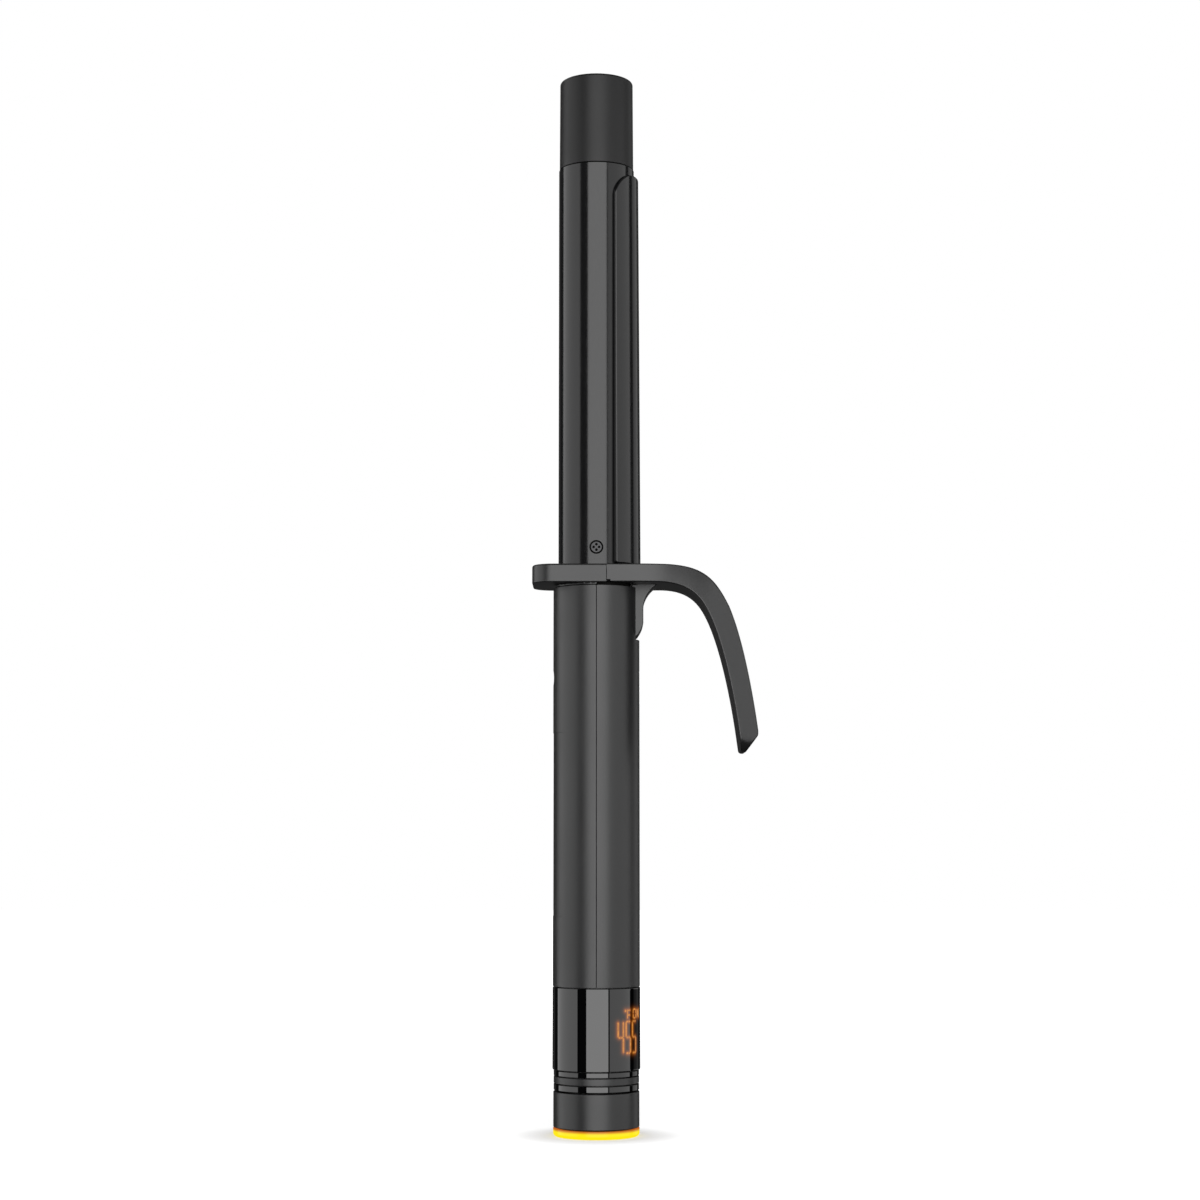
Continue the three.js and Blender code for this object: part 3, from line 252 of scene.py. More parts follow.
def turned(name, profile, segments=FINE_ROUND, steps=5):
    """A solid turned about the barrel's axis from (radius, height, rounding), counter-clockwise."""
    outline = rounded(profile, steps)
    flat = outward(outline)
    points, normals, rings = [], [], []
    angles = np.arange(segments) / segments * 2 * math.pi
    for (radius, height), (out, up) in zip(outline, flat):
        first = len(points)
        if radius < 1e-6:
            rings.append([first] * segments)
            points.append((0, 0, height))
            normals.append((0, 0, math.copysign(1, up)))
            continue
        rings.append(list(range(first, first + segments)))
        points.extend((radius * math.cos(a), radius * math.sin(a), height) for a in angles)
        normals.extend((out * math.cos(a), out * math.sin(a), up) for a in angles)
    faces = []
    for here, there in zip(rings, rings[1:] + rings[:1]):
        for index in range(segments):
            after = (index + 1) % segments
            face = dict.fromkeys((here[index], here[after], there[after], there[index]))
            if len(face) > 2:
                faces.append(tuple(face))
    return new_piece(name, points, faces, normals)


def ladder(edge, steps, hold=HOLD):
    """Inset, depth and tilt of the rings that lead from a face over its rounded edge to the wall."""
    turns = np.arange(steps + 1) / steps * math.pi / 2
    rings = [(edge * (1 - math.sin(t)), edge * (1 - math.cos(t)), t) for t in turns]
    return [(edge + hold, 0.0, 0.0)] + rings


def slab(name, place, loops, grid, pockets=(), steps=4, hold=HOLD):
    """A closed plate over a flat region, with rounded edges and true normals.

    place(uv, side, depth) gives the points that lie depth under the face on one side, 1 or -1.
    loops are (outline, edge on side 1, edge on side -1), the region lying on each outline's left.
    pockets are (outline, edge, depth) and are sunk into side 1.
    """
    points, normals, faces, total = [], [], [], 0
    borders = {1: [], -1: []}
    floors = []
    step = 0.01

    def lay(uv, side, depth, out=None, tilt=0.0):
        nonlocal total
        here = place(uv, side, depth)
        across = place(uv + (step, 0), side, depth) - place(uv - (step, 0), side, depth)
        along = place(uv + (0, step), side, depth) - place(uv - (0, step), side, depth)
        normal = np.cross(across, along)
        normal /= np.linalg.norm(normal, axis=1)[:, None]
        into = place(uv, side, depth + step) - here
        normal *= -np.sign((normal * into).sum(1))[:, None]
        if out is not None:
            wall = place(uv + step * out, side, depth) - place(uv - step * out, side, depth)
            wall -= normal * (normal * wall).sum(1)[:, None]
            wall /= np.linalg.norm(wall, axis=1)[:, None]
            normal = normal * math.cos(tilt) + wall * math.sin(tilt)
        points.append(here)
        normals.append(normal)
        ids = np.arange(total, total + len(uv))
        total += len(uv)
        return ids

    def join(before, after):
        for a, b, c, d in zip(after, np.roll(after, -1), np.roll(before, -1), before):
            faces.append((int(a), int(b), int(c), int(d)))

    def chain(loop, rungs):
        out = outward(loop)
        last = None
        for side, inset, depth, tilt in rungs:
            ids = lay(moved_in(loop, inset), side, depth, out, tilt)
            if last is not None:
                join(last, ids)
            last = ids
        return last

    for loop, near_edge, far_edge in loops:
        down = [(1, *rung) for rung in ladder(near_edge, steps, hold)]
        up = [(-1, *rung) for rung in reversed(ladder(far_edge, steps, hold))]
        first = total
        last = chain(loop, down + up)
        borders[1].append((moved_in(loop, near_edge + hold), np.arange(first, first + len(loop))))
        borders[-1].append((moved_in(loop, far_edge + hold), last))
    for loop, edge, depth in pockets:
        rungs = [(1, *rung) for rung in ladder(edge, steps, hold)]
        for turn in np.arange(steps + 1) / steps * math.pi / 2:
            sunk = depth - edge * (1 - math.sin(turn))
            rungs.append((1, -edge * (1 - math.cos(turn)), sunk, math.pi / 2 - turn))
        rungs.append((1, -edge - hold, depth, 0.0))
        first = total
        last = chain(loop, rungs)
        borders[1].append((moved_in(loop, edge + hold), np.arange(first, first + len(loop))))
        floors.append((moved_in(loop, -edge - hold), last, depth))

    def cap(rings, side, depth):
        spots, triangles = filled([uv for uv, _ in rings], grid)
        ids = np.concatenate([ids for _, ids in rings] + [lay(spots, side, depth)])
        order = triangles if side > 0 else triangles[:, ::-1]
        faces.extend(tuple(int(corner) for corner in ids[triangle]) for triangle in order)

    cap(borders[1], 1, 0.0)
    cap(borders[-1], -1, 0.0)
    for uv, ids, depth in floors:
        cap([(uv, ids)], 1, depth)
    return new_piece(name, np.concatenate(points), faces, np.concatenate(normals))


def extruded(name, outline, low, high, lift):
    """A plain prism used for cutting: lift(u, v, w) turns outline and height into a point."""
    count = len(outline)
    points = [lift(u, v, w) for w in (low, high) for u, v in outline]
    faces = [tuple(range(count))[::-1], tuple(range(count, 2 * count))]
    for index in range(count):
        after = (index + 1) % count
        faces.append((index, after, count + after, count + index))
    return new_piece(name, points, faces)


def upright(u, v, w):
    return (u, v, w)


def along_x(u, v, w):
    return (w, u, v)


def along_y(u, v, w):
    return (u, -w, v)


def box_piece(name, low, high):
    outline = [(low[0], low[1]), (high[0], low[1]), (high[0], high[1]), (low[0], high[1])]
    return extruded(name, outline, low[2], high[2], upright)


def settle(piece):
    """Turns a piece's modifiers into plain mesh and removes them."""
    graph = bpy.context.evaluated_depsgraph_get()
    mesh = bpy.data.meshes.new_from_object(piece.evaluated_get(graph))
    old = piece.data
    piece.modifiers.clear()
    piece.data = mesh
    mesh.name = piece.name
    if isinstance(old, bpy.types.Mesh):
        bpy.data.meshes.remove(old)
    return piece


def combined(piece, tools, operation="DIFFERENCE"):
    """Cuts the tools from a piece, or joins them to it, and removes them."""
    for tool in tools:
        modifier = piece.modifiers.new("combine", "BOOLEAN")
        modifier.object = tool
        modifier.operation = operation
        modifier.solver = "EXACT"
    settle(piece)
    for tool in tools:
        bpy.data.objects.remove(tool)
    return piece


def crisp(piece, angle=CREASE):
    """Smooth faces with sharp creases, the larger faces setting the normals."""
    piece.data.shade_smooth()
    piece.data.set_sharp_from_angle(angle=angle)
    modifier = piece.modifiers.new("weigh", "WEIGHTED_NORMAL")
    modifier.keep_sharp = True
    modifier.weight = 90
    return settle(piece)


def true_round(piece, radius):
    """Gives the faces on a round wall the exact normals of that wall."""
    mesh = piece.data
    count = len(mesh.loops)
    normals = np.zeros(count * 3)
    mesh.corner_normals.foreach_get("vector", normals)
    normals = normals.reshape(-1, 3)
    places = np.zeros(len(mesh.vertices) * 3)
    mesh.vertices.foreach_get("co", places)
    places = places.reshape(-1, 3) / MM - (AXIS_X, 0.0, 0.0)
    flat = np.zeros(len(mesh.polygons) * 3)
    mesh.polygons.foreach_get("normal", flat)
    flat = flat.reshape(-1, 3)
    for face in mesh.polygons:
        for loop in face.loop_indices:
            x, y, _ = places[mesh.loops[loop].vertex_index]
            reach = math.hypot(x, y)
            if abs(reach - radius) > 0.01:
                continue
            radial = np.array((x / reach, y / reach, 0.0))
            if flat[face.index] @ radial > 0.99:
                normals[loop] = radial
    mesh.normals_split_custom_set(normals.tolist())
    return piece


def finished(piece, finish, body, *nodes):
    """Gives a piece its finish and its body, and lets it stand for its CAD nodes."""
    piece.data.materials.clear()
    piece.data.materials.append(material(finish))
    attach(piece, body)
    if nodes:
        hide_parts(*nodes)
    return piece


# ---- Node trees ------------------------------------------------------------------------------


class Tree:
    """Adds nodes to a tree. An input is a value, a node or one of its outputs."""

    def __init__(self, tree):
        self.tree = tree

    def add(self, kind, inputs=None, **settings):
        node = self.tree.nodes.new(kind)
        for name, value in settings.items():
            setattr(node, name, value)
        for key, value in (inputs or {}).items():
            socket = node.inputs[key]
            if isinstance(value, bpy.types.Node):
                value = value.outputs[0]
            if isinstance(value, bpy.types.NodeSocket):
                self.tree.links.new(value, socket)
            else:
                socket.default_value = value
        return node

    def math(self, operation, first, second=0.0):
        return self.add("ShaderNodeMath", {0: first, 1: second}, operation=operation)


def geometry_tree(name, inputs):
    """A Geometry Nodes tree with a geometry input and the named inputs."""
    group = bpy.data.node_groups.new(name, "GeometryNodeTree")
    group.interface.new_socket("Geometry", in_out="INPUT", socket_type="NodeSocketGeometry")
    for label, kind, value in inputs:
        socket = group.interface.new_socket(label, in_out="INPUT", socket_type="NodeSocket" + kind)
        if value is not None:
            socket.default_value = value
    group.interface.new_socket("Geometry", in_out="OUTPUT", socket_type="NodeSocketGeometry")
    tree = Tree(group)
    return tree, tree.add("NodeGroupInput").outputs


def close_tree(tree, geometry, finish):
    """Ends a tree in real geometry with its material."""
    real = tree.add("GeometryNodeRealizeInstances", {"Geometry": geometry})
    painted = tree.add("GeometryNodeSetMaterial", {"Geometry": real, "Material": finish})
    tree.add("NodeGroupOutput", {0: painted})
    return tree.tree


def grown(name, group, values, base=None):
    """A piece made by a Geometry Nodes tree, its inputs set by their identifiers."""
    piece = base or bpy.data.objects.new(name, bpy.data.meshes.new(name))
    if base is None:
        bpy.context.scene.collection.objects.link(piece)
    modifier = piece.modifiers.new("grow", "NODES")
    modifier.node_group = group
    for item in group.interface.items_tree:
        if item.in_out == "INPUT" and item.name in values:
            modifier[item.identifier] = values[item.name]
    settle(piece)
    if not piece.data.polygons:
        raise RuntimeError(f"{name} came out empty")
    return piece


def ring_tree():
    """A turned ring: a rounded rectangle swept round a circle."""
    if "turned_ring" in bpy.data.node_groups:
        return bpy.data.node_groups["turned_ring"]
    tree, given = geometry_tree(
        "turned_ring",
        [
            ("Outer Radius", "Float", 0.014),
            ("Inner Radius", "Float", 0.012),
            ("Bottom", "Float", 0.0),
            ("Top", "Float", 0.01),
            ("Outer Edge", "Float", 0.0002),
            ("Inner Edge", "Float", 0.0001),
            ("Centre", "Float", AXIS_X * MM),
            ("Segments", "Int", FINE_ROUND),
            ("Finish", "Material", None),
        ],
    )
    wall = tree.math("SUBTRACT", given["Outer Radius"], given["Inner Radius"])
    tall = tree.math("SUBTRACT", given["Top"], given["Bottom"])
    section = tree.add("GeometryNodeCurvePrimitiveQuadrilateral", {"Width": wall, "Height": tall})
    place = tree.add("ShaderNodeSeparateXYZ", {0: tree.add("GeometryNodeInputPosition")})
    outer = tree.add("FunctionNodeCompare", {0: place.outputs[0], 1: 0.0}, operation="GREATER_THAN")
    edge = tree.add(
        "GeometryNodeSwitch",
        {0: outer, 1: given["Inner Edge"], 2: given["Outer Edge"]},
        input_type="FLOAT",
    )
    soft = tree.add("GeometryNodeFilletCurve", mode="POLY")
    tree.tree.links.new(section.outputs[0], soft.inputs["Curve"])
    tree.tree.links.new(edge.outputs[0], soft.inputs["Radius"])
    soft.inputs["Count"].default_value = 5
    inward = tree.math("MULTIPLY", wall, -0.5)
    shift = tree.add("ShaderNodeCombineXYZ", {"X": inward})
    section = tree.add("GeometryNodeTransform", {"Geometry": soft, "Translation": shift})
    rail = tree.add(
        "GeometryNodeCurvePrimitiveCircle",
        {"Resolution": given["Segments"], "Radius": given["Outer Radius"]},
    )
    ring = tree.add("GeometryNodeCurveToMesh", {"Curve": rail, "Profile Curve": section})
    total = tree.math("ADD", given["Top"], given["Bottom"])
    middle = tree.math("MULTIPLY", total, 0.5)
    lift = tree.add("ShaderNodeCombineXYZ", {"X": given["Centre"], "Z": middle})
    ring = tree.add("GeometryNodeTransform", {"Geometry": ring, "Translation": lift})
    return close_tree(tree, ring, given["Finish"])


def ring(name, finish, node, wall, outer_edge, inner_edge=0.1, segments=FINE_ROUND, raised=0.0):
    """A turned ring in the place of a CAD node, its wall and edges in millimetres."""
    bottom, top = heights(node)
    radius = radius_of(node) + raised
    values = {
        "Outer Radius": radius * MM,
        "Inner Radius": (radius - wall) * MM,
        "Bottom": bottom * MM,
        "Top": top * MM,
        "Outer Edge": outer_edge * MM,
        "Inner Edge": inner_edge * MM,
        "Segments": segments,
        "Finish": material(finish),
    }
    piece = grown(name, ring_tree(), values)
    facing_out(piece)
    return true_round(crisp(piece, CUT_CREASE), radius)


def facing_out(piece):
    """Turns the faces of a closed mesh outwards."""
    mesh = piece.data
    places = np.zeros(len(mesh.vertices) * 3)
    mesh.vertices.foreach_get("co", places)
    places = places.reshape(-1, 3)
    volume = 0.0
    for face in mesh.polygons:
        ids = list(face.vertices)
        for b, c in zip(ids[1:], ids[2:]):
            volume += places[ids[0]] @ np.cross(places[b], places[c])
    if volume < 0:
        mesh.flip_normals()
    return piece


def screw_tree():
    """One copy of the head on each point of the base mesh, facing the point's facing attribute."""
    if "placed_screws" in bpy.data.node_groups:
        return bpy.data.node_groups["placed_screws"]
    tree, given = geometry_tree("placed_screws", [("Head", "Object", None), ("Finish", "Material", None)])
    head = tree.add("GeometryNodeObjectInfo", {"Object": given["Head"]}).outputs["Geometry"]
    facing = tree.add("GeometryNodeInputNamedAttribute", {"Name": "facing"}, data_type="FLOAT_VECTOR")
    turn = tree.add("FunctionNodeAlignRotationToVector", {"Vector": facing}, axis="Z")
    heads = tree.add(
        "GeometryNodeInstanceOnPoints", {"Points": given["Geometry"], "Instance": head, "Rotation": turn}
    )
    return close_tree(tree, heads, given["Finish"])


def screw_head(radius, height, lobe, distance):
    """A head about the origin, its top face at height 0, with four round lobes cut through it."""
    loops = [(circle(0, 0, radius, SMALL_ROUND), 0.12, 0.05)]
    for turn in range(4):
        angle = turn * math.pi / 2
        u, v = distance * math.cos(angle), distance * math.sin(angle)
        loops.append((circle(u, v, lobe, 20, clockwise=True), 0.05, 0.03))

    def place(uv, side, depth):
        level = -depth if side > 0 else depth - height
        return np.stack([uv[:, 0] - AXIS_X, uv[:, 1], np.full(len(uv), level)], 1)

    return slab("head", place, loops, (0.6, 0.6), steps=3, hold=0.02)


def placed(name, finish, head, places, facings):
    """One mesh of copies of a head at the places, each facing its own way."""
    mesh = bpy.data.meshes.new(name)
    mesh.from_pydata([Vector((x + AXIS_X, y, z)) * MM for x, y, z in places], [], [])
    layer = mesh.attributes.new("facing", "FLOAT_VECTOR", "POINT")
    layer.data.foreach_set("vector", [part for facing in facings for part in facing])
    base = bpy.data.objects.new(name, mesh)
    bpy.context.scene.collection.objects.link(base)
    piece = grown(name, screw_tree(), {"Head": head, "Finish": material(finish)}, base)
    bpy.data.objects.remove(head)
    return piece


def screws(name, finish, places, facings, sizes):
    """Cross-recessed screws: the heads, and behind the recesses of each a near-black disc of painted shade
    that stands for the shaded depth of the recess.

    sizes are the head's radius and height, and the radius and distance of its four lobes.
    """
    radius, height = sizes[:2]
    # The disc lies under each head and shows through the lobes cut through it: a dark sheet of painted shade
    # where a real recess would only be in shadow.
    back = -height - 0.25
    piece = placed(name, finish, screw_head(*sizes), places, facings)
    disc = turned("disc", [(0, back, 0), (radius, back, 0), (radius, -height, 0), (0, -height, 0)], 32)
    disc.data.transform(Matrix.Translation((-AXIS_X * MM, 0, 0)))
    finished(placed(f"{name}_backs", "insulator", disc, places, facings), "insulator", "handle")
    return piece


def wire_tree():
    """A round wire along the edges of the base mesh."""
    if "round_wire" in bpy.data.node_groups:
        return bpy.data.node_groups["round_wire"]
    tree, given = geometry_tree(
        "round_wire",
        [("Wire Radius", "Float", 0.0004), ("Segments", "Int", 16), ("Finish", "Material", None)],
    )
    path = tree.add("GeometryNodeMeshToCurve", {"Mesh": given["Geometry"]})
    section = tree.add(
        "GeometryNodeCurvePrimitiveCircle",
        {"Resolution": given["Segments"], "Radius": given["Wire Radius"]},
    )
    wire = tree.add(
        "GeometryNodeCurveToMesh", {"Curve": path, "Profile Curve": section, "Fill Caps": True}
    )
    return close_tree(tree, wire, given["Finish"])


def rib_tree():
    """Small box-shaped ribs, standing in a circle about the barrel's axis."""
    if "rib_circle" in bpy.data.node_groups:
        return bpy.data.node_groups["rib_circle"]
    tree, given = geometry_tree(
        "rib_circle",
        [
            ("Circle Radius", "Float", 0.0045),
            ("Height", "Float", 0.0008),
            ("Centre", "Float", AXIS_X * MM),
            ("Count", "Int", 16),
            ("Rib Length", "Float", 0.0012),
            ("Rib Width", "Float", 0.0004),
            ("Rib Depth", "Float", 0.0006),
            ("Finish", "Material", None),
        ],
    )
    ring_points = tree.add(
        "GeometryNodeMeshCircle", {"Vertices": given["Count"], "Radius": given["Circle Radius"]}
    )
    size = tree.add(
        "ShaderNodeCombineXYZ",
        {"X": given["Rib Length"], "Y": given["Rib Width"], "Z": given["Rib Depth"]},
    )
    rib = tree.add("GeometryNodeMeshCube", {"Size": size})
    place = tree.add("GeometryNodeInputPosition")
    turn = tree.add("FunctionNodeAlignRotationToVector", {"Vector": place}, axis="X")
    ribs = tree.add(
        "GeometryNodeInstanceOnPoints", {"Points": ring_points, "Instance": rib, "Rotation": turn}
    )
    lift = tree.add("ShaderNodeCombineXYZ", {"X": given["Centre"], "Z": given["Height"]})
    ribs = tree.add("GeometryNodeTransform", {"Geometry": ribs, "Translation": lift})
    return close_tree(tree, ribs, given["Finish"])


# ---- Finishes --------------------------------------------------------------------------------


def mixed(tree, share, first, second):
    """A colour between two colours."""
    node = tree.add("ShaderNodeMix", data_type="RGBA")
    for index, value in ((0, share), (6, first), (7, second)):
        if isinstance(value, bpy.types.NodeSocket):
            tree.tree.links.new(value, node.inputs[index])
        else:
            node.inputs[index].default_value = value if index == 0 else (*value, 1.0)
    return node.outputs[2]


def spread(tree, value, low, high, start=0.0, end=1.0):
    """A value carried from one range to another."""
    node = tree.add(
        "ShaderNodeMapRange",
        {"Value": value, "From Min": start, "From Max": end, "To Min": low, "To Max": high},
    )
    return node.outputs[0]


def noise(tree, place, scale, detail=2.0):
    return tree.add("ShaderNodeTexNoise", {"Vector": place, "Scale": scale, "Detail": detail}).outputs[0]


def stretched(tree, place, scale):
    """Object coordinates scaled apart, so that a grain runs one way."""
    return tree.add("ShaderNodeMapping", {"Vector": place, "Scale": scale}).outputs[0]


def start_material(name, metallic=0.0, specular=0.5, coat=0.0):
    """A new material with its shader and object coordinates."""
    made = bpy.data.materials.new(name)
    made.use_nodes = True
    made.node_tree.nodes.clear()
    tree = Tree(made.node_tree)
    shader = tree.add("ShaderNodeBsdfPrincipled")
    shader.inputs["Metallic"].default_value = metallic
    shader.inputs["Specular IOR Level"].default_value = specular
    shader.inputs["Coat Weight"].default_value = coat
    tree.add("ShaderNodeOutputMaterial", {"Surface": shader})
    place = tree.add("ShaderNodeTexCoord").outputs["Object"]
    return made, tree, shader, place


def connect(tree, shader, colour=None, roughness=None, bump=None, strength=0.2, distance=0.02):
    """Joins a material's colour, roughness and bump height to its shader."""
    if colour is not None:
        tree.tree.links.new(colour, shader.inputs["Base Color"])
    if roughness is not None:
        tree.tree.links.new(roughness, shader.inputs["Roughness"])
    if bump is not None:
        node = tree.add("ShaderNodeBump", {"Height": bump, "Strength": strength, "Distance": distance * MM})
        tree.tree.links.new(node.outputs[0], shader.inputs["Normal"])


def moulded(name, colour, roughness, grain=9000.0, strength=0.12, specular=0.4):
    """Moulded plastic: a fine spark-eroded grain and slow changes of sheen."""
    made, tree, shader, place = start_material(name, specular=specular)
    grains = noise(tree, place, grain, 3.0)
    slow = noise(tree, place, 45.0, 2.0)
    fleck = noise(tree, place, 2600.0, 1.0)
    darker = tuple(part * 0.82 for part in colour)
    lighter = tuple(part * 1.18 for part in colour)
    tone = mixed(tree, fleck, darker, lighter)
    sheen = tree.math("ADD", spread(tree, slow, -0.025, 0.025, 0.3, 0.7), roughness)
    sheen = tree.math("ADD", sheen.outputs[0], spread(tree, grains, -0.03, 0.03, 0.3, 0.7))
    connect(tree, shader, tone, sheen.outputs[0], grains, strength, 0.012)
    return made


def polished(name, colour, roughness):
    """Piano-gloss plastic: near mirror, with the faintest smear and ripple."""
    made, tree, shader, place = start_material(name)
    smear = noise(tree, stretched(tree, place, (60.0, 60.0, 14.0)), 1.0, 3.0)
    ripple = noise(tree, place, 55.0, 1.0)
    tone = mixed(tree, smear, colour, tuple(part * 1.5 for part in colour))
    sheen = spread(tree, smear, roughness, roughness * 2.2, 0.35, 0.75)
    connect(tree, shader, tone, sheen, ripple, 0.02, 0.01)
    return made


def coated(name, colour, roughness):
    """Fired coating over metal: tiny flakes under a semi-gloss skin."""
    made, tree, shader, place = start_material(name, specular=0.33)
    flakes = tree.add("ShaderNodeTexVoronoi", {"Vector": place, "Scale": 5200.0}).outputs["Color"]
    flake = tree.add("ShaderNodeSeparateColor", {0: flakes}).outputs[0]
    fine = noise(tree, stretched(tree, place, (900.0, 900.0, 320.0)), 1.0, 3.0)
    slow = noise(tree, place, 30.0, 2.0)
    tone = mixed(tree, flake, tuple(part * 0.8 for part in colour), tuple(part * 1.35 for part in colour))
    sheen = tree.math("ADD", spread(tree, slow, -0.012, 0.012, 0.3, 0.7), roughness)
    sheen = tree.math("ADD", sheen.outputs[0], spread(tree, fine, -0.015, 0.015, 0.3, 0.7))
    connect(tree, shader, tone, sheen.outputs[0], fine, 0.03, 0.006)
    return made


def metal(name, colour, roughness, grain=(300.0, 300.0, 6000.0)):
    """Machined metal: fine marks that run one way."""
    made, tree, shader, place = start_material(name, metallic=1.0)
    marks = noise(tree, stretched(tree, place, grain), 1.0, 4.0)
    slow = noise(tree, place, 120.0, 2.0)
    tone = mixed(tree, slow, tuple(part * 0.86 for part in colour), colour)
    sheen = spread(tree, marks, roughness * 0.75, roughness * 1.3, 0.3, 0.7)
    connect(tree, shader, tone, sheen, marks, 0.15, 0.01)
    return made


def fired(name, colour):
    """Fired ceramic: chalky, with pinholes."""
    made, tree, shader, place = start_material(name, specular=0.35)
    pits = tree.add("ShaderNodeTexVoronoi", {"Vector": place, "Scale": 1900.0}).outputs["Distance"]
    cloud = noise(tree, place, 140.0, 4.0)
    tone = mixed(tree, cloud, tuple(part * 0.86 for part in colour), colour)
    connect(tree, shader, tone, spread(tree, cloud, 0.6, 0.78, 0.3, 0.7), pits, 0.25, 0.04)
    return made


def board(name, colour):
    """Circuit board: solder mask with tracks and small pads."""
    made, tree, shader, place = start_material(name)
    tracks = tree.add(
        "ShaderNodeTexBrick",
        {"Vector": stretched(tree, place, (1.0, 420.0, 260.0)), "Scale": 1.0, "Mortar Size": 0.06},
    ).outputs["Fac"]
    pads = tree.add("ShaderNodeTexVoronoi", {"Vector": place, "Scale": 620.0}).outputs["Distance"]
    pad = spread(tree, pads, 1.0, 0.0, 0.12, 0.16)
    tone = mixed(tree, tracks, colour, tuple(part * 1.7 for part in colour))
    tone = mixed(tree, pad, tone, (0.55, 0.5, 0.42))
    connect(tree, shader, tone, spread(tree, pad, 0.42, 0.22), tracks, 0.4, 0.03)
    return made


def lead(name, colour):
    """Silicone sleeve over stranded wire."""
    made, tree, shader, place = start_material(name, specular=0.3)
    wave = tree.add(
        "ShaderNodeTexWave", {"Vector": place, "Scale": 420.0, "Distortion": 1.5}, bands_direction="Z"
    ).outputs["Fac"]
    tone = mixed(tree, wave, tuple(part * 0.8 for part in colour), colour)
    connect(tree, shader, tone, spread(tree, wave, 0.5, 0.62), wave, 0.12, 0.03)
    return made


def lit_ring(name, colour, rim, low, high, glow):
    """A lit diffuser whose light warms towards its upper rim."""
    made, tree, shader, place = start_material(name, specular=0.12)
    height = tree.add("ShaderNodeSeparateXYZ", {0: place}).outputs["Z"]
    cloud = noise(tree, place, 260.0, 2.0)
    rise = spread(tree, height, 0.0, 1.0, low * MM, high * MM)
    tone = mixed(tree, rise, colour, rim)
    light = tree.math("MULTIPLY", spread(tree, rise, glow, glow * 0.55), spread(tree, cloud, 0.97, 1.03))
    tree.tree.links.new(tone, shader.inputs["Emission Color"])
    tree.tree.links.new(light.outputs[0], shader.inputs["Emission Strength"])
    milky = mixed(tree, cloud, (0.03, 0.022, 0.003), (0.045, 0.034, 0.004))
    connect(tree, shader, milky, spread(tree, cloud, 0.14, 0.24), cloud, 0.03, 0.01)
    return made


def lit_digit(name, colour, glow):
    """Amber segments with a slightly uneven light."""
    made, tree, shader, place = start_material(name)
    cloud = noise(tree, place, 900.0, 2.0)
    tone = mixed(tree, cloud, tuple(part * 0.8 for part in colour), colour)
    tree.tree.links.new(tone, shader.inputs["Emission Color"])
    light = spread(tree, cloud, glow * 0.8, glow * 1.2, 0.3, 0.7)
    tree.tree.links.new(light, shader.inputs["Emission Strength"])
    dark = mixed(tree, cloud, (0.01, 0.005, 0.002), (0.02, 0.009, 0.003))
    connect(tree, shader, dark, spread(tree, cloud, 0.2, 0.3), cloud, 0.02, 0.01)
    return made


def lit_window(name, colour, light, strength, specular):
    """The gloss window over the digits, where their light spreads as its glow attribute says."""
    made, tree, shader, place = start_material(name, specular=specular)
    smear = noise(tree, stretched(tree, place, (60.0, 60.0, 14.0)), 1.0, 3.0)
    glow = tree.add("ShaderNodeAttribute", attribute_name="glow").outputs["Fac"]
    tree.tree.links.new(tree.math("MULTIPLY", glow, strength).outputs[0], shader.inputs["Emission Strength"])
    shader.inputs["Emission Color"].default_value = (*light, 1.0)
    tone = mixed(tree, smear, colour, tuple(part * 1.5 for part in colour))
    connect(tree, shader, tone, spread(tree, smear, 0.02, 0.044, 0.35, 0.75), smear, 0.01, 0.005)
    return made


def material(name):
    """The material of that name, made when it is first asked for."""
    if name in MADE:
        return bpy.data.materials[MADE[name]]
    look = bpy.context.scene.iron_looks
    satin, gloss = tuple(look.satin), tuple(look.gloss)
    ring_tints, halo = (tuple(look.ring), tuple(look.ring_rim)), tuple(look.halo)
    makers = {
        "satin_black": lambda n: moulded(n, satin, look.satin_roughness),
        "tip_black": lambda n: moulded(n, tuple(look.tip), 0.42, 7000.0, 0.16, 0.25),
        "soft_black": lambda n: moulded(n, tuple(part * 0.6 for part in satin), 0.62, 5000.0, 0.25),
        "gloss_black": lambda n: polished(n, gloss, look.gloss_roughness),
        "barrel_coat": lambda n: coated(n, tuple(look.barrel), look.barrel_roughness),
        "dark_steel": lambda n: metal(n, (0.035, 0.035, 0.036), 0.34),
        "bright_steel": lambda n: metal(n, (0.6, 0.61, 0.62), 0.28),
        "aluminium": lambda n: metal(n, (0.77, 0.78, 0.8), 0.35, (3000.0, 3000.0, 90.0)),
        "ceramic": lambda n: fired(n, (0.87, 0.84, 0.78)),
        # Also the finish of the near-black discs of painted shade behind the screws' recesses.
        "insulator": lambda n: moulded(n, (0.004, 0.0038, 0.0035), 0.8, 2500.0, 0.3, 0.05),
        "circuit_board": lambda n: board(n, (0.02, 0.11, 0.045)),
        "lead_sleeve": lambda n: lead(n, (0.42, 0.06, 0.03)),
        "light_diffuser": lambda n: lit_ring(n, *ring_tints, 1.75, 2.6, look.ring_glow),
        "display_amber": lambda n: lit_digit(n, tuple(look.digits), look.digit_glow),
        "display_window": lambda n: lit_window(n, gloss, halo, look.halo_glow, 0.03),
        "display_glow": lambda n: lit_window(n, gloss, halo, look.halo_glow, 0.5),
    }
    made = makers[name](name)
    MADE[name] = made.name
    return made


MADE = {}


# ---- Settings --------------------------------------------------------------------------------


def amount(name, description, default):
    """A strength, roughness or radiance that a user may change."""
    return FloatProperty(name=name, description=description, default=default, min=0.0)


def share_of(name, description, default):
    """A share from 0 to 1 that a user may change."""
    return FloatProperty(
        name=name, description=description, default=default, min=0.0, max=1.0, subtype="FACTOR"
    )


def angle_of(name, description, degrees):
    """An angle that a user may change, with its default in degrees."""
    return FloatProperty(
        name=name, description=description, default=math.radians(degrees), subtype="ANGLE", unit="ROTATION"
    )


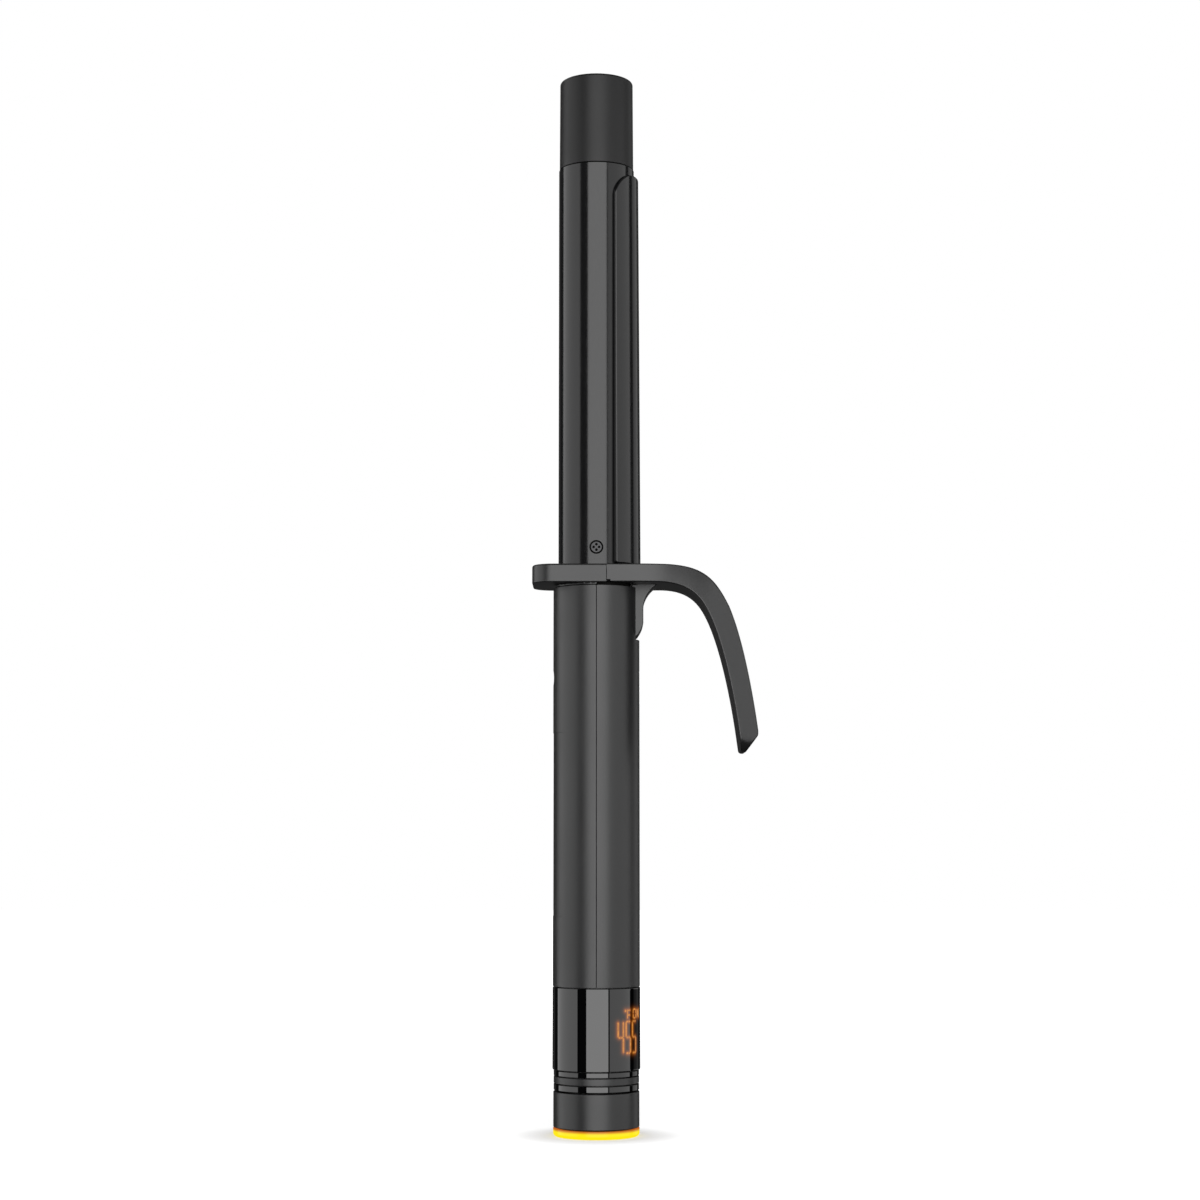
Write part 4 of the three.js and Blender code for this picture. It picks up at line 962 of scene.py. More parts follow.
class IronLooks(bpy.types.PropertyGroup):
    satin: tint("Satin black", "Colour of the handle, guard and lever", (0.007, 0.007, 0.0072))
    satin_roughness: share_of("Satin roughness", "Roughness of the handle", 0.36)
    gloss: tint("Gloss black", "Colour of the display sleeve", (0.0005, 0.0005, 0.0006))
    gloss_roughness: share_of("Gloss roughness", "Roughness of the sleeve", 0.012)
    barrel: tint("Barrel", "Colour of the heated barrel and the clamp", (0.004, 0.004, 0.0042))
    barrel_roughness: share_of("Barrel roughness", "Roughness of the barrel", 0.14)
    tip: tint("Tip", "Colour of the cool tip", (0.005, 0.005, 0.0052))
    ring: tint("Light ring", "Light of the ring at the base", (1.0, 0.8, 0.005))
    ring_rim: tint("Light ring's rim", "Light along the ring's upper edge", (0.9, 0.2, 0.02))
    ring_glow: amount("Ring glow", "Strength of the ring's light", 1.0)
    digits: tint("Digits", "Light of the display's digits", (1.0, 0.36, 0.03))
    digit_glow: amount("Digit glow", "Strength of the digits' light", 0.6)
    halo: tint("Halo", "Light spread round the digits", (1.0, 0.25, 0.02))
    halo_glow: amount("Halo glow", "Strength of the halo", 0.36)


class BaseSizes(bpy.types.PropertyGroup):
    ring_edge: length("Ring edge", "Rounding of the light ring's lower edge", 1.1)
    dial_edge: length("Dial edge", "Rounding of the dial's edges", 0.35)
    dial_wall: length("Dial wall", "Wall of the dial", 1.45)
    band_edge: length("Band edge", "Rounding of the neck bands", 0.15)
    band_wall: length("Band wall", "Wall of the neck bands", 1.35)
    index_length: length("Index mark length", "Length of the dial's index mark", 2.6)
    index_width: length("Index mark width", "Width of the dial's index mark", 0.7)
    gland_ribs: IntProperty(name="Gland ribs", description="Grip ribs on the cord gland", default=18, min=3)


class DisplaySizes(bpy.types.PropertyGroup):
    reading: StringProperty(name="Reading", description="The digits that the display shows", default="455")
    wall: length("Sleeve wall", "Wall of the display sleeve", 1.7)
    edge: length("Sleeve edge", "Rounding of the sleeve's ends", 0.2)
    digit_height: length("Digit height", "Height of the large digits", 10.1)
    digit_bottom: length("Digit rise", "Large digits above the sleeve's lower end", 5.85)
    stroke: length("Stroke", "Width of the digits' strokes", 0.55)
    halo: length("Halo reach", "How far the digits' light spreads", 0.4)
    window_angle: angle_of("Window angle", "Half of the angle that the dark window covers", 40.8)


class HandleSizes(bpy.types.PropertyGroup):
    wall: length("Wall", "Wall of the handle's shells", 1.7)
    seam: length("Seam", "Gap between the two shells", 0.16)
    seam_edge: length("Seam edge", "Rounding along the seam", 0.08)
    slot_half_width: length("Slot", "Half of the slot's width", 6.05)
    button_gap: length("Button gap", "Gap round the buttons", 0.2)
    button_edge: length("Button edge", "Rounding of the buttons", 0.35)
    label_depth: length("Label depth", "Depth of the recess for the rating label", 0.12)


class BarrelSizes(bpy.types.PropertyGroup):
    wall: length("Wall", "Wall of the barrel", 1.0)
    edge: length("Edge", "Rounding of the barrel's ends", 0.15)
    screw_gap: length("Screw gap", "Gap round the barrel's screws", 0.35)
    tip_edge: length("Tip edge", "Rounding of the cool tip's top", 0.9)
    tip_draft: length("Tip draft", "How much slimmer the tip is at its top", 0.15)


class GripSizes(bpy.types.PropertyGroup):
    guard_edge: length("Guard edge", "Rounding of the finger guard's upper edge", 0.75)
    guard_under: length("Guard's lower edge", "Rounding of the finger guard's lower edge", 0.35)
    guard_corner: length("Guard corner", "Corner of the guard, seen from above", 6.8)
    split_gap: length("Split gap", "Gap between the guard and the lever", 0.14)
    lever_edge: length("Lever edge", "Rounding of the thumb lever", 0.5)
    blade_width: length("Blade width", "Width of the lever's blade", 22.0)
    blade_corner: length("Blade corner", "Corners at the blade's lower end", 5.0)
    blade_draft: angle_of("Blade draft", "How far the blade's sides lean in towards its outer face", 17)
    clamp_edge: length("Clamp edge", "Rounding of the clamp's outer edge", 0.5)
    clamp_angle: angle_of("Clamp angle", "Half of the angle that the clamp covers", 63.6)
    wire: length("Spring wire", "Radius of the return spring's wire", 0.4)


class StageLights(bpy.types.PropertyGroup):
    front: amount("Front panel", "Radiance of the front panel", 4.6)
    left: amount("Left panel", "Radiance of the left panel", 2.0)
    right: amount("Right panel", "Radiance of the right panel", 1.65)
    strip: amount("Strip", "Radiance of the far right strip", 0.6)
    back: amount("Back panels", "Radiance of the panels behind", 1.2)
    top: amount("Top panel", "Radiance of the panel overhead", 0.4)
    rear: amount("Rear panel", "Radiance of the dim panel behind", 0.05)
    # Floor light is the floor's emission at the base itself: the depth of the painted contact shadow there.
    floor: amount("Floor light", "Light of the floor by the base", 0.36)
    floor_tone: amount("Floor tone", "Brightness of the floor", 0.5)


# ---- Base ------------------------------------------------------------------------------------


def light_ring(sizes):
    bottom, top = heights("light_ring")
    outer = radius_of("light_ring")
    inner = radius_of("base_plate") + 0.3
    seat = outer - 1.5
    profile = [
        (inner, bottom, 0.1), (outer, bottom, sizes.ring_edge / MM), (outer, top, 0.06),
        (seat, top, 0.05), (seat, (bottom + top) / 2, 0.05), (inner, (bottom + top) / 2, 0.05),
    ]
    return finished(turned("light_ring_shell", profile), "light_diffuser", "handle", "light_ring")


def base_plate():
    bottom, hub_top = heights("base_plate")
    outer = radius_of("base_plate")
    hole = radius_of("base_plate") - 3.7
    hub = hole + 1.2
    top = bottom + 2.4
    profile = [
        (hole, bottom, 0.15), (hole + 0.9, bottom, 0.12), (hole + 1.1, bottom + 0.25, 0.1),
        (hole + 1.5, bottom + 0.25, 0.1), (hole + 1.7, bottom, 0.12),
        (outer, bottom, 0.25), (outer, top, 0.1), (hub, top, 0.1), (hub, hub_top, 0.1), (hole, hub_top, 0.1),
    ]
    plate = turned("base_plate_shell", profile)
    tools = []
    for index in range(3):
        low, high = corners(f"base_screw_{index + 1}")
        x, y = (low.x + high.x) / 2, (low.y + high.y) / 2
        reach = (high.x - low.x) / 2 + 0.3
        outline = circle(x, y, reach, SMALL_ROUND)
        tools.append(extruded("tool", outline, -1.0, low.z + 1.1, upright))
    return finished(crisp(combined(plate, tools)), "satin_black", "handle", "base_plate")


def base_screws():
    places, reach = [], 0
    for index in range(3):
        low, high = corners(f"base_screw_{index + 1}")
        places.append(((low.x + high.x) / 2, (low.y + high.y) / 2, low.z))
        reach = (high.x - low.x) / 2
    sizes = (reach, 0.55, 0.2, 0.5)
    piece = screws("base_screw_heads", "bright_steel", places, [(0, 0, -1)] * 3, sizes)
    return finished(piece, "bright_steel", "handle", "base_screw_1", "base_screw_2", "base_screw_3")


def cord_gland(sizes):
    bottom, top = heights("cord_gland")
    collar = radius_of("cord_gland")
    outer, bore = collar - 1.2, collar - 3.0
    profile = [
        (bore, bottom, 0.45), (outer, bottom, 0.3), (outer, 6.0, 0.1), (collar, 6.0, 0.1),
        (collar, 8.0, 0.1), (outer, 8.0, 0.1), (outer, top, 0.2), (bore, top, 0.3),
    ]
    gland = turned("cord_gland_body", profile, 128)
    values = {
        "Circle Radius": (outer + bore) / 2 * MM, "Height": bottom * MM, "Count": sizes.gland_ribs,
        "Rib Length": 1.0 * MM, "Rib Width": 0.45 * MM, "Rib Depth": 0.5 * MM,
        "Finish": material("soft_black"),
    }
    ribs = grown("gland_grooves", rib_tree(), values)
    return finished(crisp(combined(gland, [ribs])), "soft_black", "cord_gland", "cord_gland")


def dial(sizes):
    piece = ring("dial_cap", "satin_black", "dial", sizes.dial_wall / MM, sizes.dial_edge / MM, 0.2)
    bottom, top = heights("dial")
    middle = (bottom + top) / 2 - 1.6
    reach = radius_of("dial")
    half, tall = sizes.index_width / MM / 2, sizes.index_length / MM / 2
    outline = rounded([
        (-half, middle - tall, 0.3), (half, middle - tall, 0.3),
        (half, middle + tall, 0.3), (-half, middle + tall, 0.3),
    ])
    mark = extruded("tool", outline, reach - 0.25, reach + 2, along_x)
    combined(piece, [mark])
    return finished(true_round(crisp(piece, CUT_CREASE), reach), "satin_black", "dial", "dial")


def neck_bands(sizes):
    wall, edge = sizes.band_wall / MM, sizes.band_edge / MM
    for name, finish in (("lower", "gloss_black"), ("middle", "satin_black"), ("upper", "gloss_black")):
        node = f"neck_band_{name}"
        finished(ring(f"{node}_ring", finish, node, wall, edge), finish, "handle", node)


# ---- Display ---------------------------------------------------------------------------------

SEGMENTS = {
    "0": "abcdef", "1": "bc", "2": "abged", "3": "abgcd", "4": "fgbc",
    "5": "afgcd", "6": "afgcde", "7": "abc", "8": "abcdefg", "9": "abcdfg",
}


def bar(start, end, width):
    """A stroke with pointed ends, anticlockwise."""
    start, end = np.array(start, float), np.array(end, float)
    along = (end - start) / np.linalg.norm(end - start)
    side = np.array((-along[1], along[0])) * width / 2
    nose = along * width / 2
    near, far = start + nose, end - nose
    return np.array([start, near - side, far - side, end, far + side, near + side])


def digit_bars(character, left, bottom, wide, tall, stroke):
    """The lit segments of one digit whose box starts at left and bottom."""
    gap = stroke * 0.14
    right, top, middle = left + wide, bottom + tall, bottom + tall / 2
    ends = {
        "a": ((left + gap, top), (right - gap, top)), "g": ((left + gap, middle), (right - gap, middle)),
        "d": ((left + gap, bottom), (right - gap, bottom)), "f": ((left, middle + gap), (left, top - gap)),
        "e": ((left, bottom + gap), (left, middle - gap)), "b": ((right, middle + gap), (right, top - gap)),
        "c": ((right, bottom + gap), (right, middle - gap)),
    }
    return [bar(*ends[segment], stroke) for segment in SEGMENTS[character]]


FAR = -0.01  # stands for the far side itself
LETTER_F = (
    (0, 0), (1, 0), (1, 2.3), (-0.4, 2.3), (-0.4, 3.3), (1, 3.3), (1, -1), (FAR, -1), (FAR, FAR), (0, FAR),
)
LETTER_N = (
    (0, 0), (1, 0), (1, 2.6), (-1, 0), (FAR, 0), (FAR, FAR), (-1, FAR), (-1, -2.6), (1, FAR), (0, FAR),
)


def letter(shape, left, bottom, wide, tall, stroke):
    """A letter's outline. Its numbers count strokes from the left and the bottom.

    A negative number counts from the right or the top.
    """
    def along(number, size):
        if number >= 0:
            return number * stroke
        return size if number == FAR else size + number * stroke

    return np.array([(left + along(u, wide), bottom + along(v, tall)) for u, v in shape])


def display_strokes(sizes):
    """Every stroke of the display as an outline in arc length from the lever's side and height."""
    radius = radius_of("display_sleeve")
    bottom = heights("display_sleeve")[0] + sizes.digit_bottom / MM
    tall, stroke = sizes.digit_height / MM, sizes.stroke / MM
    strokes = []
    lefts = np.radians((-60.6, -47.8, -35.3)) * radius
    for character, left in zip(sizes.reading, lefts):
        strokes += digit_bars(character, left, bottom, 2.05, tall, stroke)
    small, rise = stroke * 0.7, bottom + tall + 1.0
    left = math.radians(-46.0) * radius
    strokes.append(letter(LETTER_F, left, rise, 1.5, 2.8, small))
    strokes.append(circle(left - 0.7, rise + 2.45, 0.36, 12))
    left = math.radians(-33.5) * radius
    strokes += digit_bars("0", left, rise, 1.5, 2.8, small)
    strokes.append(letter(LETTER_N, left + 2.3, rise, 1.9, 2.8, small))
    return strokes


def on_tube(outer, inner, scale, inner_spread=1.0):
    """Maps arc length and height onto a tube; outer and inner are radii or functions of height.

    inner_spread widens the inner face's angle, so that a gap between two shells closes inwards.
    """
    def place(uv, side, depth):
        height = uv[:, 1]
        wall = outer if side > 0 else inner
        reach = (wall(height) if callable(wall) else wall) - side * depth
        angle = uv[:, 0] / scale * (1 if side > 0 else inner_spread)
        return np.stack([reach * np.cos(angle), reach * np.sin(angle), height], 1)
    return place


def distance_to(points, outlines, closed=True):
    """The distance from each point to the nearest outline's edge."""
    best = np.full(len(points), 1e9)
    for outline in outlines:
        ends = np.roll(outline, -1, 0) if closed else outline[1:]
        for start, end in zip(outline, ends):
            along = end - start
            share = np.clip(((points - start) @ along) / (along @ along), 0, 1)
            nearest = start + share[:, None] * along
            best = np.minimum(best, np.linalg.norm(points - nearest, axis=1))
    return best


def display_sleeve(sizes):
    piece = ring("display_sleeve_ring", "gloss_black", "display_sleeve", sizes.wall / MM, sizes.edge / MM)
    return finished(piece, "gloss_black", "handle", "display_sleeve")


def lit_patch(name, finish, start, end, low, high, strokes, reach, halo):
    """A thin patch of the sleeve whose glow attribute falls away from the strokes."""
    outline = rounded([(start, low, 0.3), (end, low, 0.3), (end, high, 0.3), (start, high, 0.3)])
    outline = divided(outline, 0.8)
    place = on_tube(reach + 0.006, reach - 0.02, reach)
    patch = slab(name, place, [(outline, 0.003, 0.003)], (0.26, 0.26), steps=1)
    spots = np.array([vertex.co for vertex in patch.data.vertices]) / MM - (AXIS_X, 0, 0)
    flat = np.stack([np.arctan2(spots[:, 1], spots[:, 0]) * reach, spots[:, 2]], 1)
    away = distance_to(flat, strokes)
    away[inside_any(flat, strokes)] = 0
    glow = patch.data.attributes.new("glow", "FLOAT", "POINT")
    glow.data.foreach_set("value", np.exp(-away / halo).astype(np.float32))
    return finished(patch, finish, "handle")


def display_digits(sizes):
    radius = radius_of("display_sleeve")
    bottom, top = heights("display_sleeve")
    strokes = display_strokes(sizes)
    loops = [(outline, 0.005, 0.005) for outline in strokes]
    place = on_tube(radius + 0.02, radius - 0.01, radius)
    digits = slab("display_digits", place, loops, (0.5, 0.8), steps=1, hold=0.02)
    finished(digits, "display_amber", "handle")
    every = np.concatenate(strokes)
    half = sizes.window_angle * radius
    low, high = bottom + 0.4, top - 0.4
    halo = sizes.halo / MM
    lit_patch("display_window", "display_window", -half, half, low, high, strokes, radius, halo)
    start = every[:, 0].min() - 2.2
    lit_patch("display_glow", "display_glow", start, -half - 0.01, low, high, strokes, radius, halo)


def inside_any(points, outlines):
    hit = np.zeros(len(points), bool)
    for outline in outlines:
        hit |= inside(points, [outline])
    return hit


# ---- Handle ----------------------------------------------------------------------------------


def on_handle(y, radius):
    """Arc length on the handle of a point seen from the side, y from the middle."""
    return math.asin(y / radius) * radius


def button_hole(node, gap):
    low, high = corners(node)
    middle = (low.z + high.z) / 2
    reach = (high.z - low.z) / 2 + gap
    outline = circle(0, middle, reach, SMALL_ROUND, clockwise=True)
    outline[:, 0] = [on_handle(y, HANDLE_RADIUS) for y in outline[:, 0]]
    return outline


def handle_shells(sizes):
    radius = HANDLE_RADIUS
    bottom, top = heights("handle_front")
    gap, edge = sizes.seam / MM / 2, sizes.seam_edge / MM
    side = math.acos(gap / radius) * radius
    slot = on_handle(sizes.slot_half_width / MM, radius)
    floor = HANDLE_TOP - 17.3
    outline = rounded([
        (-side, bottom, 0.3), (side, bottom, 0.3), (side, top, 0.3), (slot, top, 0.5),
        (slot, floor, 0.6), (-slot, floor, 0.6), (-slot, top, 0.5), (-side, top, 0.3),
    ], 5)
    loops = [(divided(outline, 1.2), edge, 0.1)]
    for node in ("power_button", "unit_button"):
        loops.append((button_hole(node, sizes.button_gap / MM), 0.15, 0.1))
    place = on_tube(radius, radius - sizes.wall / MM, radius, (math.pi / 2 - 1e-4) / (side / radius))
    front = slab("handle_front_shell", place, loops, (1.0, 2.6))
    finished(front, "satin_black", "handle", "handle_front")

    outline = rounded([
        (-side, bottom, 0.3), (side, bottom, 0.3), (side, top, 0.3), (-side, top, 0.3),
    ], 5)
    low, high = corners("handle_screw")
    hole = circle(0, (low.z + high.z) / 2, 2.45, SMALL_ROUND, clockwise=True)
    hole[:, 0] = [on_handle(y, radius) for y in hole[:, 0]]
    label = math.radians(46) * radius
    low_z, high_z = bottom + 22.9, top - 48.2
    recess = rounded([
        (-label, low_z, 2.0), (label, low_z, 2.0), (label, high_z, 2.0), (-label, high_z, 2.0),
    ], 6)
    recess = divided(recess, 1.2)[::-1]
    pockets = [(hole, 0.2, 1.2), (recess, 0.05, sizes.label_depth / MM)]

    def behind(uv, face, depth):
        return place(uv, face, depth) * (-1, -1, 1)

    loops = [(divided(outline, 1.2), edge, 0.1)]
    back = slab("handle_back_shell", behind, loops, (1.0, 2.6), pockets)
    return finished(back, "satin_black", "handle", "handle_back")


def handle_screw():
    low, high = corners("handle_screw")
    middle = (low.z + high.z) / 2
    reach = (high.z - low.z) / 2
    sizes = (reach, 0.5, 0.4, 0.92)
    piece = screws("handle_screw_head", "dark_steel", [(low.x, 0, middle)], [(-1, 0, 0)], sizes)
    return finished(piece, "dark_steel", "handle", "handle_screw")


def button_cap(node, mark, sizes):
    """A button that follows the handle's curve, with its mark sunk into it."""
    low, high = corners(node)
    middle, reach = (low.z + high.z) / 2, (high.z - low.z) / 2
    outline = circle(0, middle, reach, SMALL_ROUND)
    edge = sizes.button_edge / MM
    loops = [(outline, edge, 0.1)]
    outer = HANDLE_RADIUS - 0.02
    thickness = outer - (HANDLE_RADIUS - 3.2)

    def place(uv, side, depth):
        x = np.sqrt(outer**2 - uv[:, 0] ** 2)
        x = x - depth if side > 0 else x - thickness + depth
        return np.stack([x, uv[:, 0], uv[:, 1]], 1)

    marks = [(line, 0.04, 0.14) for line in mark(middle)]
    piece = slab(f"{node}_cap", place, loops, (0.5, 0.5), marks, hold=0.03)
    return finished(piece, "satin_black", node, node)


def power_mark(middle):
    """A broken circle and an upright stroke."""
    angles = np.radians(np.linspace(130, 410, 33))
    outer = np.stack([1.25 * np.cos(angles), middle + 1.25 * np.sin(angles)], 1)
    inner = np.stack([0.95 * np.cos(angles), middle + 0.95 * np.sin(angles)], 1)[::-1]
    half, low, high = 0.16, middle + 0.25, middle + 1.45
    stroke = np.array([(-half, low), (half, low), (half, high), (-half, high)])
    return [np.concatenate([outer, inner])[::-1], divided(stroke, 0.3)[::-1]]


def unit_mark(middle):
    """A small round dimple."""
    return [circle(0, middle, 0.6, 24, clockwise=True)]


# ---- Barrel ----------------------------------------------------------------------------------


def barrel(sizes):
    wall, edge = sizes.wall / MM, sizes.edge / MM
    piece = ring("barrel_tube", "barrel_coat", "barrel", wall, edge, segments=256)
    low, high = corners("barrel_screw_near")
    outline = circle(0, (low.z + high.z) / 2, (high.z - low.z) / 2 + sizes.screw_gap / MM, SMALL_ROUND)
    tool = extruded("tool", outline, -20.0, 20.0, along_y)
    combined(piece, [tool])
    piece = true_round(crisp(piece, CUT_CREASE), BARREL_RADIUS)
    return finished(piece, "barrel_coat", "handle", "barrel")


def barrel_screws():
    low, high = corners("barrel_screw_near")
    middle = (low.z + high.z) / 2
    face = -low.y
    places = [(0, -face, middle), (0, face, middle)]
    sizes = ((high.z - low.z) / 2 - 0.12, 0.8, 0.42, 0.9)
    piece = screws("barrel_screw_heads", "dark_steel", places, [(0, -1, 0), (0, 1, 0)], sizes)
    return finished(piece, "dark_steel", "handle", "barrel_screw_near", "barrel_screw_far")


def cool_tip(sizes):
    bottom, top = heights("cool_tip")
    outer = radius_of("cool_tip")
    upper, inner = outer - sizes.tip_draft / MM, outer - 1.5
    profile = [
        (0, top - 2.5, 0), (inner, top - 2.5, 0.3), (inner, bottom, 0.1), (outer, bottom, 0.12),
        (upper, top, sizes.tip_edge / MM), (0, top, 0),
    ]
    return finished(turned("cool_tip_cap", profile, steps=8), "tip_black", "handle", "cool_tip")


# ---- Guard, lever and clamp ------------------------------------------------------------------


def finger_guard(sizes):
    low, high = corners("finger_guard")
    half, corner, edge = high.y, sizes.guard_corner / MM, sizes.guard_edge / MM
    bore = BARREL_RADIUS + 0.3
    split = high.x + 0.15 - sizes.split_gap / MM / 2
    outline = rounded([(17, -half, 0), (17, half, 0), (low.x, half, corner), (low.x, -half, corner)], 16)

    def place(uv, side, depth):
        height = (high.z - depth) if side > 0 else (GUARD_BOTTOM + depth)
        return np.stack([uv[:, 0], uv[:, 1], np.full(len(uv), height)], 1)

    hole = circle(0, 0, bore, 128, clockwise=True)
    loops = [(divided(outline, 3.0), edge, sizes.guard_under / MM), (hole, 0.12, 0.12)]
    plate = slab("finger_guard_plate", place, loops, (3.0, 3.0), steps=6, hold=0.02)
    lip_outer, lip_top = bore + 0.85, GUARD_BOTTOM + 0.5
    lip = turned("lip", [
        (bore, low.z, 0.1), (lip_outer, low.z, 0.1), (lip_outer, lip_top, 0), (bore, lip_top, 0),
    ])
    combined(lip, [box_piece("tool", (0, -40, -1), (40, 40, CUT_ABOVE))])
    combined(plate, [lip], "UNION")
    combined(plate, [box_piece("tool", (split, -40, -1), (60, 40, CUT_ABOVE))])
    return finished(crisp(plate), "satin_black", "handle", "finger_guard")


def lever_under():
    """The lever's underside from the side, in x and z."""
    low, high = corners("thumb_lever")
    x, end, tip, under = HANDLE_RADIUS, high.x, low.z, GUARD_BOTTOM
    bent = (x + 22.1, under - 8.7)
    return np.concatenate([
        [(0.0, under), (x + 6, under)],
        curve([(x + 6, under), (x + 15.2, under), (x + 19.3, under - 3.4), bent], 14),
        curve([bent, (end - 11.2, under - 19.1), (end - 7.4, tip + 14.6), (end - 6.0, tip + 3.3)], 22),
    ])


def lever_outline():
    """The lever from the side, in x and z: collar, bend and a blade cut off at a slant."""
    low, high = corners("thumb_lever")
    x, end, tip, over = HANDLE_RADIUS, high.x, low.z, GUARD_TOP
    straight, bent = (end, tip + 7.2), (x + 29.6, over - 13.5)
    stretches = [
        lever_under(),
        [(end - 5.75, tip, 1.05), (end - 4.15, tip, 1.05), (end, tip + 5.6, 2.0), straight],
        curve([straight, (end - 1.6, tip + 18.9), (end - 4.7, over - 24.6), bent], 22),
        curve([bent, (x + 24.3, over - 2.7), (x + 20.1, over), (x + 7.7, over)], 18),
        [(0.0, over)],
    ]
    points = [(*point, 0)[:3] for stretch in stretches for point in stretch]
    return divided(rounded(points, 6), 2.5)


def cutting_rod(radius, top):
    """A rod about the barrel's axis, from well under the guard up to a height."""
    return turned("tool", [(0, CUT_BELOW, 0), (radius, CUT_BELOW, 0), (radius, top, 0), (0, top, 0)])


def thumb_lever(sizes):
    low, high = corners("thumb_lever")
    x, blade, full = HANDLE_RADIUS, sizes.blade_width / MM / 2, high.y
    corner, edge = sizes.blade_corner / MM, sizes.lever_edge / MM
    inner_curve = lever_under()
    narrowing = curve([(x, full), (x + 8, full), (x + 12, blade), (x + 22, blade)], 40)
    plan = np.concatenate([[(x, full)], narrowing])

    def half_width(uv):
        width = np.interp(uv[:, 0], plan[:, 0], plan[:, 1])
        drop = np.clip(low.z + corner - uv[:, 1], 0, corner)
        share = np.clip((uv[:, 0] - x - 7.5) / 16, 0, 1)
        above = distance_to(uv, [inner_curve], closed=False)
        lean = share * share * (3 - 2 * share) * above * math.tan(sizes.blade_draft)
        return width - corner + np.sqrt(np.maximum(corner**2 - drop**2, 0)) - lean

    def place(uv, side, depth):
        return np.stack([uv[:, 0], -side * (half_width(uv) - depth), uv[:, 1]], 1)

    lever = slab("thumb_lever_body", place, [(lever_outline(), edge, edge)], (2.0, 2.0), steps=6, hold=0.03)
    foot, inner, pivot = HANDLE_TOP - 16.7, HANDLE_RADIUS - 1.7, HANDLE_RADIUS - 6.35
    under, pocket_radius = GUARD_BOTTOM, BARREL_RADIUS + 2.4
    heel, calf = (x - 0.7, foot + 0.6), (x + 1.25, foot + 9.5)
    over_seat, seat, step = under + 2, under + 0.9, under + 0.15
    outline = np.concatenate([
        [(pivot - 3, under - 0.7), (pivot - 3, foot + 7), (pivot + 1, foot), (inner - 0.4, foot), heel],
        curve([heel, (x + 1.1, foot + 3.2), (x + 1.25, foot + 5)], 8), [calf],
        curve([calf, (x + 1.3, foot + 13), (x + 3.3, under - 1.2), (x + 6.5, under + 0.3)], 12),
        [(x + 6.5, over_seat), (pocket_radius - 0.5, over_seat), (pocket_radius - 0.5, seat)],
        [(BARREL_RADIUS + 0.6, seat), (BARREL_RADIUS + 0.6, step)],
        [(BARREL_RADIUS - 1.0, step), (BARREL_RADIUS - 1.0, under - 0.7)],
    ])
    web = extruded("web", outline, -5.75, 5.75, along_y)
    rims = web.modifiers.new("soften", "BEVEL")
    rims.width = 0.35 * MM
    rims.segments = 3
    rims.limit_method = "ANGLE"
    rims.angle_limit = math.radians(55)
    settle(web)
    start = corners("finger_guard")[1].x + 0.15 + sizes.split_gap / MM / 2
    fork = cutting_rod(BARREL_RADIUS + 0.4, CUT_ABOVE)
    relief = cutting_rod(x + 0.5, seat)
    angle = math.radians(40) + 0.046
    arc = [(pocket_radius * math.cos(a), pocket_radius * math.sin(a)) for a in np.linspace(-angle, angle, 60)]
    pocket = extruded("pocket", [(0, 0)] + arc, CUT_BELOW, CUT_ABOVE, upright)
    combined(lever, [box_piece("tool", (-5, -40, 0), (start, 40, CUT_ABOVE)), fork, relief, pocket])
    combined(lever, [web], "UNION")
    spring_room = box_piece("tool", (-1, -3.0, HANDLE_TOP - 11.9), (pivot + 4.0, 3.0, HANDLE_TOP - 1.8))
    pin = extruded("tool", circle(pivot, HANDLE_TOP - 5.1, 1.8, SMALL_ROUND), -30, 30, along_y)
    combined(lever, [spring_room, pin])
    return finished(crisp(lever), "satin_black", "clamp", "thumb_lever")


def clamp_plate(sizes):
    low, high = corners("clamp_plate")
    inner = BARREL_RADIUS + 0.3
    outer_low, outer_high = inner + 1.8, inner + 1.2
    scale = outer_high

    def outer(height):
        share = (height - low.z) / (high.z - low.z)
        return outer_low + (outer_high - outer_low) * share

    side, neck = sizes.clamp_angle * scale, math.radians(40) * scale
    shoulder, top, corner_tall, corner_wide = GUARD_TOP + 0.3, high.z - 0.7, 8.0, 5.5
    flat = outer(top - corner_tall) * math.sin(sizes.clamp_angle) - corner_wide
    rim = []
    for turn in np.linspace(0, math.pi / 2, 20):
        height = top - corner_tall * (1 - math.sin(turn))
        rim.append((math.asin((flat + corner_wide * math.cos(turn)) / outer(height)) * scale, height))
    rim += [(-along, height) for along, height in reversed(rim)]
    lower = rounded([
        (-neck, low.z, 0.85), (neck, low.z, 0.85), (neck, shoulder, 0.25), (side, shoulder, 1.0),
        (side, high.z, 0), (-side, high.z, 0), (-side, shoulder, 1.0), (-neck, shoulder, 0.25),
    ])
    corner_steps = 7
    keep = 4 * corner_steps
    outline = np.concatenate([lower[:keep], rim, lower[keep + 2:]])
    edge = sizes.clamp_edge / MM
    place, loops = on_tube(outer, inner, scale), [(divided(outline, 1.5), edge, 0.15)]
    plate = slab("clamp_plate_shell", place, loops, (1.0, 2.6), steps=5)
    return finished(plate, "barrel_coat", "clamp", "clamp_plate")


def pivot_pin():
    low, high = corners("pivot_pin")
    middle, height, reach = (low.x + high.x) / 2, (low.z + high.z) / 2, (high.z - low.z) / 2
    profile = [(0, -high.y, 0), (reach, -high.y, 0.3), (reach, high.y, 0.3), (0, high.y, 0)]
    pin = turned("pivot_pin_rod", profile, SMALL_ROUND)
    pin.data.transform(Matrix.Translation((-AXIS_X * MM, 0, 0)))
    pin.data.transform(Matrix.Rotation(math.pi / 2, 4, "X"))
    pin.data.transform(Matrix.Translation(((AXIS_X + middle) * MM, 0, height * MM)))
    return finished(pin, "bright_steel", "handle", "pivot_pin")


